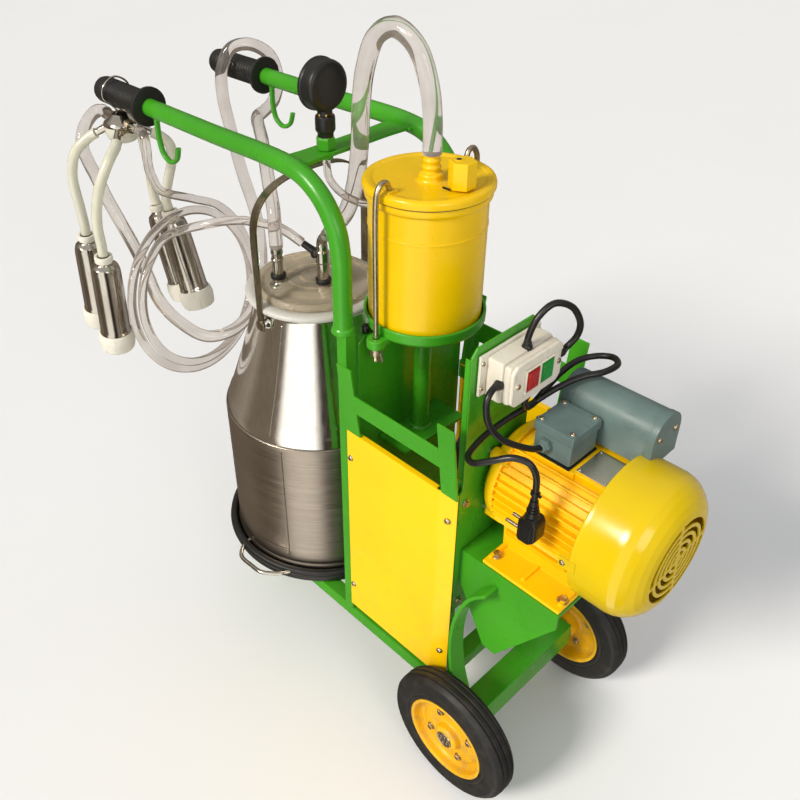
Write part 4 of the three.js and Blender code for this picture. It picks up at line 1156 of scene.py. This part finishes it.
def strap(line, width, thick, piece):
    """A flat bar bent in the YZ plane, as one closed shell with slightly rounded faces."""
    points = smooth_line(line, 4)
    section = [(-1, -1), (-0.86, -1.18), (0.86, -1.18), (1, -1)]
    section += [(-s, -t) for s, t in section]
    n = len(section)
    out, faces = [], []
    for i, q in enumerate(points):
        d = (points[min(i + 1, len(points) - 1)] - points[max(i - 1, 0)]).normalized()
        flat = Vector((0, -d.z, d.y)) * thick / 2
        for s, t in section:
            out.append(q + Vector((s * width / 2, 0, 0)) + flat * t * 0.85)
    for i in range(len(points) - 1):
        for k in range(n):
            j = (k + 1) % n
            faces.append((i * n + k, i * n + j, (i + 1) * n + j, (i + 1) * n + k))
    faces += [tuple(range(n)), tuple(range((len(points) - 1) * n, len(points) * n))]
    piece.shell(out, faces)


def make_carry_bail():
    p = Piece()
    x = BUCKET_X
    half = [(x, 103.4, BAIL_Z - 8), (x, 103.4, 640), (x, 103.4, 715), (x, 101.4, 736), (x, 92, 758)]
    half += [(x, 74, 774), (x, 48, 784)]
    line = [*half, (x, 0, 788), *[(x, -y, z) for _, y, z in reversed(half)]]
    strap(line, 13, 3, p)
    for _, side in SIDES:
        p.turned([(0, 0), (8.6, 0), (8.6, 2), (0, 2.6)], 0.8, (x, side * 104.6, BAIL_Z), 32, (0, side, 0))
    p.done("carry_bail", BAIL, "bail", replaces="bucket_bail")


make_tray()
make_bucket()
make_bucket_lid()
make_carry_bail()


# ---- motor and pump -----------------------------------------------------------------------
MOTOR_Z, STATOR_RADIUS, COWL_RADIUS, SHAFT_RADIUS, PUMP_RADIUS = 493, 74, 94, 12, 46
MOTOR_AXIS = (0, 0, MOTOR_Z)


def bolt_circle(x, radius, count, first=0):
    """Places evenly round the motor's axis, from an angle in degrees."""
    angles = [math.radians(360 // count * i + first) for i in range(count)]
    return [(x, radius * math.cos(a), MOTOR_Z + radius * math.sin(a)) for a in angles]


def make_stator():
    p = Piece()
    core = 66
    p.ring([(46, 185), (core, 185), (core, 311), (46, 311)], 1, MOTOR_AXIS, 96, X_AXIS)
    for i in range(40):
        a = math.radians(9 * i + 4.5)
        low, high = math.sin(a) < -0.72, math.sin(a) > 0.9
        if low or high or 0.55 < math.sin(a) < 0.995 and math.cos(a) > -0.4:
            continue  # the feet, the top pad and the terminal box take the place of these fins
        p.bar(Vector(MOTOR_AXIS), *spoke(a), (186, 310), ((core - 2, 1.9), (STATOR_RADIUS, 1.0)), 0.5)
    foot = PLATFORM_TOP + 0.4
    for side in (-1, 1):
        p.prism(
            [(side * 50, foot + 6), (side * 90, foot + 6), (side * 90, foot), (side * 40, foot),
             (side * 36, 437), (side * 52, 440)], "yz", 194, 116, 1.6,
        )
        for x in (196, 247, 302):
            side_box(p, side, x, 48, foot + 4, x + 6, 82, foot + 10, 1.4)
    p.prism([(-58, 440), (58, 440), (50, 424), (-50, 424)], "yz", 200, 90, 2)
    pad = Piece()
    pad.box(246, -30, 548, 308, 60, 562, 2.4)
    pad.prism([(-34, 542), (28, 542), (28, 562.4), (-34, 562.4)], "yz", 200, 68, 2)
    p.done("motor_frame", MOTOR_YELLOW, replaces="motor_stator")
    pad.done("motor_top_pad", MOTOR_YELLOW)
    plate = Piece()
    plate.box(266, -26, 561.8, 306, 24, 563, 0.4)
    for x in (269, 303):
        for y in (-23, 21):
            plate.screw((x, y, 562.9), (0, 0, 1), 1.6)
    plate.done("rating_plate", PLATE)
    spots = [(x, y, foot + 6.2) for x in (203, 303) for y in (-72, 72)]
    fasteners("foot_bolts", spots, (0, 0, 1), 5.4, "hex")


def make_bell():
    p = Piece()
    profile = [
        (SHAFT_RADIUS + 1.4, 160.8), (34, 160.8), (48, 162), (62, 166), (69, 172), (71.4, 179), (72, 185.4),
        (60, 185.4), (SHAFT_RADIUS + 1.4, 185.4),
    ]
    p.ring(profile, 2.4, MOTOR_AXIS, 96, X_AXIS)
    for x, y, z in bolt_circle(164, 66, 4, 45):
        p.rod((x, y, z), (190, y, z), 9, 9, 28, 2.4)
    p.done("drive_bell", MOTOR_YELLOW, replaces="drive_end_bell")
    fasteners("bell_bolts", bolt_circle(164.4, 66, 4, 45), (-1, 0, 0), 4.6, "hex")


def make_boxes():
    terminal = Piece()
    x0, x1, y0, y1, z = 206, 262, -34, 24, 561
    corners = [(x0 + 7, y0 + 7), (x1 - 7, y0 + 7), (x1 - 7, y1 - 7), (x0 + 7, y1 - 7)]
    terminal.box(x0 + 2, y0 + 2, z + 3, x1 - 2, y1 - 2, z + 34, 3.2)
    terminal.box(x0, y0, z + 33, x1, y1, z + 47.6, 3.6)
    for u, v in corners:
        terminal.turned([(0, 0), (5.4, 0), (5.4, 1.2), (0, 1.6)], 0.5, (u, v, z + 47), 24)
    gland = [(0, 0), (9, 0), (9, 5), (7.4, 8), (6.6, 11), (0, 11)]
    terminal.turned(gland, 0.8, (226, y0 + 1, z + 21), 6, (0, -1, 0))
    terminal.done("junction_box", GREY, replaces="terminal_box")
    fasteners("junction_screws", [(u, v, z + 48) for u, v in corners], (0, 0, 1), 3.2)
    seal = Piece()
    seal.box(x0 + 0.6, y0 + 0.6, z - 1, x1 - 0.6, y1 - 0.6, z + 3.4, 1)
    seal.done("junction_seal", BLACK_PLASTIC)
    capacitor = Piece()
    x0, x1, y, z, r = 198, 326, 55, 603, 29
    for start, end, grow in ((x0, x1 - 6, 0), (x1 - 9, x1, 0.8), (x0 + 18, x0 + 21, 0.6)):
        outline = [(y - r - grow, 567 - grow)]
        for step in range(25):
            a = math.pi * (1 - step / 24)
            outline.append((y + (r + grow) * math.cos(a), z + (r + grow) * math.sin(a)))
        outline += [(y + r + grow, 567 - grow)]
        capacitor.prism(outline, "yz", start, end - start, 2.6 if not grow else 0.7)
    capacitor.box(212, 34, 556, 300, 78, 570, 1.2)
    capacitor.done("capacitor_cover", GREY, replaces="capacitor_box")
    fasteners("capacitor_screws", [(x1 + 0.2, 38, 606), (x1 + 0.2, 72, 606)], X_AXIS, 4)


def make_cowl():
    r = COWL_RADIUS
    shell = Piece()
    side = [
        (r - 2.6, 312.4), (r, 312.4), (r + 0.6, 314), (r, 317), (r, 355), (r - 1.4, 364), (r - 5, 372),
        (r - 11, 380), (r - 19, 387), (r - 28, 391.4), (r - 37, 393.4), (56, 393.4), (56, 391),
        (r - 37, 391), (r - 28, 389), (r - 20, 384.8), (r - 12.6, 378.4), (r - 7, 371), (r - 3.4, 363),
        (r - 2.6, 354),
    ]
    shell.ring(side, 1.2, MOTOR_AXIS, 128, X_AXIS)
    for low, high in ((0, 7), (12.6, 17.4), (23, 27.8), (33.4, 38.2), (43.8, 48.6)):
        wire = [(low, 391.2), (high, 391.2), (high, 393.6), (low, 393.6)]
        if low:
            shell.ring(wire, 0.6, MOTOR_AXIS, 96, X_AXIS)
        else:
            shell.turned(wire, 0.6, MOTOR_AXIS, 48, X_AXIS)
    for i in range(4):
        u, v = spoke(math.radians(90 * i + 8))
        shell.bar(Vector(MOTOR_AXIS), u, v, (391, 393.8), ((5, 2.6), (57.5, 2.6)), 0.6)
    for degrees in (60, 180, 300):
        u, v = spoke(math.radians(degrees))
        shell.bar(Vector(MOTOR_AXIS) + u * (r - 1), u, v, (300, 322), ((0, 8), (2.2, 8)), 0.7)
    shell.done("cowl", COWL_YELLOW, replaces="fan_cowl")
    screws = Piece()
    for degrees in (60, 180, 300):
        u, _ = spoke(math.radians(degrees))
        screws.screw(Vector((306, 0, MOTOR_Z)) + u * (r + 1.4), u, 3.6)
    screws.done("cowl_screws", ZINC)


def make_rotor():
    p = Piece()
    p.rod((150.6, 0, MOTOR_Z), (351, 0, MOTOR_Z), SHAFT_RADIUS - 0.2, None, 40, 1.5)
    p.rod((197, 0, MOTOR_Z), (291, 0, MOTOR_Z), 43.4, None, 64, 2)
    p.done("rotor", STEEL, "drive_line", replaces="motor_rotor", slot="dark_iron")
    fan = Piece()
    hub = [(12, 318), (22, 318), (22.5, 330), (21, 346), (17, 350), (12, 351)]
    fan.ring(hub, 1.4, MOTOR_AXIS, 48, X_AXIS)
    for i in range(5):
        u, v = spoke(2 * math.pi * i / 5)
        ends = []
        for x, lean in ((320, -1), (346, 3)):
            for radial in (20, 79):
                for s in (-1.4, 1.4):
                    ends.append(Vector((x, 0, MOTOR_Z)) + u * radial + v * (s + lean * radial / 79))
        fan.shell(ends, BOX_FACES, 0.8)
    fan.done("cooling_fan", BLACK_PLASTIC, "drive_line")


def make_pump():
    p = Piece()
    r = PUMP_RADIUS
    body = [(14, 98), (r - 4, 98), (r - 1, 99.4), (r, 102), (r, 110), (r - 3, 113), (r - 3, 138)]
    body += [(r, 141), (r, 155), (r - 1, 156.4), (14, 156.4)]
    p.ring(body, 1.2, MOTOR_AXIS, 80, X_AXIS)
    for i in range(18):
        u, _ = spoke(math.radians(20 * i + 10))
        line = [Vector((x, 0, MOTOR_Z)) + u * (r - 2) for x in (112, 125, 139)]
        p.tube(line, 2, 8, 14)
    cap = [(0, 94.6), (18, 94.6), (24, 96), (24, 98.4), (0, 98.4)]
    p.turned(cap, 1, MOTOR_AXIS, 56, X_AXIS)
    p.done("pump_casing", IRON, replaces="vacuum_pump")
    fasteners("pump_bolts", bolt_circle(98, 35, 6), (-1, 0, 0), 3.6, "hex")
    rotor = Piece()
    rotor.rod((106, 0, MOTOR_Z), (138, 0, MOTOR_Z), 26, None, 48, 1.5)
    rotor.rod((130, 0, MOTOR_Z), (149.8, 0, MOTOR_Z), SHAFT_RADIUS - 0.2, None, 32, 1.2)
    rotor.done("pump_drum", STEEL, "drive_line", replaces="pump_rotor", slot="dark_iron")


make_stator()
make_bell()
make_boxes()
make_cowl()
make_rotor()
make_pump()


# ---- switch box and gauge -----------------------------------------------------------------
SWITCH_X, SWITCH_DEPTH = 161, 42
GAUGE, GAUGE_RADIUS = (-137, -40, 925), 31


def make_switch():
    face = SWITCH_X + SWITCH_DEPTH
    p = Piece()
    p.box(SWITCH_X + 0.3, -88, 646, SWITCH_X + 4.4, 20, 700, 1.2)
    p.box(SWITCH_X + 3, -78, 641.4, SWITCH_X + 27, 14, 697, 4.2)
    p.box(SWITCH_X + 26, -76.6, 643, face - 5, 12.6, 695.4, 4.2)
    cover = [
        (-78, 649), (-70, 641.6), (6, 641.6), (14, 649), (14, 689), (6, 696.6), (-70, 696.6),
        (-78, 689),
    ]
    p.prism(cover, "yz", face - 6, 6, 2.4)
    for y0, y1 in ((-57.4, -31.6), (-31.4, -5.6)):
        outer = [(y0, 655), (y1, 655), (y1, 686), (y0, 686)]
        inner = [(y0 + 1.6, 656.6), (y1 - 1.6, 656.6), (y1 - 1.6, 684.4), (y0 + 1.6, 684.4)]
        for i in range(4):
            j = (i + 1) % 4
            p.prism([outer[i], outer[j], inner[j], inner[i]], "yz", face - 1, 4, 0.5)
    for y in (-69, 5):
        p.turned([(0, 0), (5.6, 0), (5.2, 1.4), (0, 1.6)], 0.5, (face - 0.6, y, 671), 28, X_AXIS)
    p.done("switch_case", CREAM, replaces="switch_box")
    screws = Piece()
    for y in (-69, 5):
        screws.screw((face + 0.6, y, 671), X_AXIS, 3.6)
    for y in (-84, 17):
        screws.screw((SWITCH_X + 4.2, y, 690), X_AXIS, 3)
        screws.screw((SWITCH_X + 4.2, y, 656), X_AXIS, 3)
    screws.done("switch_screws", ZINC)
    glands = Piece()
    gland = [(0, -3), (6.4, -3), (6.4, 2), (5.4, 4), (4.6, 8), (4.2, 9), (0, 9)]
    for place, axis in (
        ((196, -42, 643), (0, 0, -1)), ((183, -30, 695.6), (0, 0, 1)),
        ((184, -76.6, 668), (0, -1, 0)), ((200, 12.6, 678), (0, 1, 0)),
    ):
        glands.turned(gland, 0.6, place, 24, axis)
    glands.done("cable_glands", BLACK_PLASTIC)
    for name, y, colour, body, node in (
        ("stop_key", -44.5, RED, "stop_button", "red_stop_button"),
        ("start_key", -18.5, BUTTON_GREEN, "start_button", "green_start_button"),
    ):
        key = Piece()
        key.box(face - 6, y - 11, 657.2, face + 3.4, y + 11, 683.8, 1.6)
        key.box(face + 2.6, y - 9, 659.4, face + 4.6, y + 9, 681.6, 1)
        key.done(name, colour, body, replaces=node)


def make_gauge():
    x, y, z = GAUGE
    r = GAUGE_RADIUS
    p = Piece()
    profile = [
        (0, 12), (23, 12), (27.4, 11), (30, 8.4), (30.8, 4), (31, -7), (32, -8), (32, -11.4),
        (30.8, -12.4), (28, -12.4), (27, -11.2), (27, -4), (0, -4),
    ]
    p.turned(profile, 1, (x, y, z), 96, X_AXIS)
    p.rod((x, y, z - r + 4), (x, y, z - r - 9), 9.4, None, 32, 1)
    valve = [(0, 889), (12, 889), (12.6, 885), (12.6, 871), (10, 867), (10, 862), (0, 862)]
    p.turned(valve, 0.8, (x, y, 0), 32)
    p.done("gauge_case", BLACK_PLASTIC, replaces="gauge_body")
    brass = Piece()
    brass.turned([(0, 888), (10, 888), (10, 892.4), (0, 892.4)], 0.8, (x, y, 0), 6)
    brass.rod((x, y, 842), (x, y, 852), 6.4, 6.4, 24, 0.6)
    brass.done("gauge_nut", BRASS)
    nut = Piece()
    hexagon = [(0, 846.6), (12, 846.6), (12.6, 850), (12.6, 860), (11, 863), (0, 863)]
    nut.turned(hexagon, 0.8, (x, y, 0), 6)
    nut.ring([(5.4, 834), (9, 834), (9, 841), (5.4, 841)], 0.6, (x, y, 0), 6)
    nut.done("valve_nut", GREEN)
    dial = Piece()
    dial.lathe([(0, -3.6), (26.8, -3.6), (26.8, -4.8), (0, -4.8)], (x, y, z), X_AXIS, 96)
    dial.done("gauge_dial", DIAL)
    marks = Piece()
    for i in range(21):
        a = math.radians(-135 + 13.5 * i)
        inner = 19 if i % 5 == 0 else 21.6
        u = Vector((0, math.sin(a), math.cos(a)))
        v = Vector((0, math.cos(a), -math.sin(a)))
        marks.bar(Vector((0, y, z)), u, v, (x - 4.6, x - 5.1), ((inner, 0.5), (24.6, 0.5)))
    marks.done("dial_marks", BLACK_PLASTIC)
    needle = Piece()
    needle.rod((x - 5, y, z), (x - 7, y, z), 3, 2.6, 24, 0.4)
    v, u = spoke(math.radians(-135))
    needle.bar(Vector((0, y, z)), u, v, (x - 5.6, x - 6.4), ((-6.5, 1.4), (19, 0.5)))
    needle.done("dial_needle", BLACK_PLASTIC, "needle", replaces="gauge_needle")
    glass = Piece()
    glass.lathe([(0, -9.4), (26.8, -9.4), (26.8, -10.4), (0, -11)], (x, y, z), X_AXIS, 96)
    glass.done("gauge_glass", GLASS)


make_switch()
make_gauge()


# ---- floor, lights and world --------------------------------------------------------------
FLOOR_HALF, SUN_STRENGTH, SUN_SPREAD, SUN_HEADING = 14.0, 2.75, math.radians(16), (0.12, 0.82, -0.60)
BROWN, DARK, WINDOW = (0.17, 0.135, 0.10), (0.045, 0.034, 0.025), (1.5, 1.44, 1.34)
CEILING, SOFT_SURROUND, BACKDROP = (0.62, 0.60, 0.56), (0.50, 0.51, 0.53), (0.82, 0.82, 0.83)


def area_light(name, place, target, size, power, colour):
    data = bpy.data.lights.new(name, "AREA")
    data.shape = "DISK"
    data.size = size
    data.energy = power
    data.color = colour
    lamp = bpy.data.objects.new(name, data)
    bpy.context.scene.collection.objects.link(lamp)
    place = Vector(place)
    lamp.location = place
    lamp.rotation_euler = (Vector(target) - place).to_track_quat("-Z", "Y").to_euler()


def make_floor():
    mesh = bpy.data.meshes.new("floor")
    half = FLOOR_HALF
    corners = [(-half, -half, 0), (half, -half, 0), (half, half, 0), (-half, half, 0)]
    mesh.from_pydata(corners, [], [(0, 1, 2, 3)])
    f = Finish("pale_floor", Roughness=0.9)
    f.colour(f.blend((0.86, 0.86, 0.86), (0.83, 0.83, 0.83), f.noise(2, 3)))
    mesh.materials.append(f.material)
    floor = bpy.data.objects.new("floor", mesh)
    bpy.context.scene.collection.objects.link(floor)
    floor.visible_glossy = False  # polished steel mirrors the room instead of the pale floor


def ramp_of(tree, stops):
    ramp = tree.nodes.new("ShaderNodeValToRGB")
    elements = ramp.color_ramp.elements
    while len(elements) < len(stops):
        elements.new(0.5)
    for element, (position, colour) in zip(elements, stops):
        element.position = position
        element.color = (*colour, 1)
    return ramp


def make_world():
    """Even pale surroundings; mirrors and clear plastic see a room with a window and dark walls."""
    world = bpy.data.worlds.new("studio")
    world.use_nodes = True
    tree = world.node_tree
    tree.nodes.clear()
    new, link = tree.nodes.new, tree.links.new
    split = new("ShaderNodeSeparateXYZ")
    link(new("ShaderNodeTexCoord").outputs["Generated"], split.inputs[0])
    turn = new("ShaderNodeMath")
    turn.operation = "ARCTAN2"
    link(split.outputs[1], turn.inputs[0])
    link(split.outputs[0], turn.inputs[1])
    share = new("ShaderNodeMapRange")
    for i, v in enumerate((-math.pi, math.pi, 0.0, 1.0)):
        share.inputs[i + 1].default_value = v
    link(turn.outputs[0], share.inputs[0])
    walls = ramp_of(tree, [
        (0.0, BROWN), (0.10, (0.30, 0.25, 0.20)), (0.14, BROWN), (0.238, BROWN), (0.262, WINDOW),
        (0.365, WINDOW), (0.392, DARK), (0.44, DARK), (0.47, (0.42, 0.38, 0.33)),
        (0.56, (0.30, 0.26, 0.22)), (0.62, BROWN), (0.74, (0.45, 0.42, 0.38)), (0.82, BROWN),
        (1.0, BROWN),
    ])
    link(share.outputs[0], walls.inputs[0])
    rise = ramp_of(tree, [(0.0, (0, 0, 0)), (0.42, (0, 0, 0)), (0.75, (1, 1, 1)), (1.0, (1, 1, 1))])
    link(split.outputs[2], rise.inputs[0])
    room = mix_of(tree, rise.outputs[0], walls.outputs[0], CEILING)
    path = new("ShaderNodeLightPath")
    seen = new("ShaderNodeMath")
    seen.operation = "MAXIMUM"
    link(path.outputs["Is Glossy Ray"], seen.inputs[0])
    link(path.outputs["Is Transmission Ray"], seen.inputs[1])
    both = mix_of(tree, seen.outputs[0], SOFT_SURROUND, room)
    back = new("ShaderNodeBackground")
    link(mix_of(tree, path.outputs["Is Camera Ray"], both, BACKDROP), back.inputs[0])
    link(back.outputs[0], new("ShaderNodeOutputWorld").inputs[0])
    bpy.context.scene.world = world


def make_sun():
    data = bpy.data.lights.new("sun", "SUN")
    data.energy = SUN_STRENGTH
    data.angle = SUN_SPREAD
    data.color = (1.0, 0.95, 0.86)
    lamp = bpy.data.objects.new("sun", data)
    bpy.context.scene.collection.objects.link(lamp)
    lamp.rotation_euler = Vector(SUN_HEADING).to_track_quat("-Z", "Y").to_euler()


make_floor()
make_world()
make_sun()
area_light(
    "fill", place=(3.2, -1.2, 1.9), target=(0.1, 0.0, 0.5), size=1.6, power=26,
    colour=(1.0, 0.98, 0.94),
)
bpy.context.scene.view_settings.view_transform = "Standard"
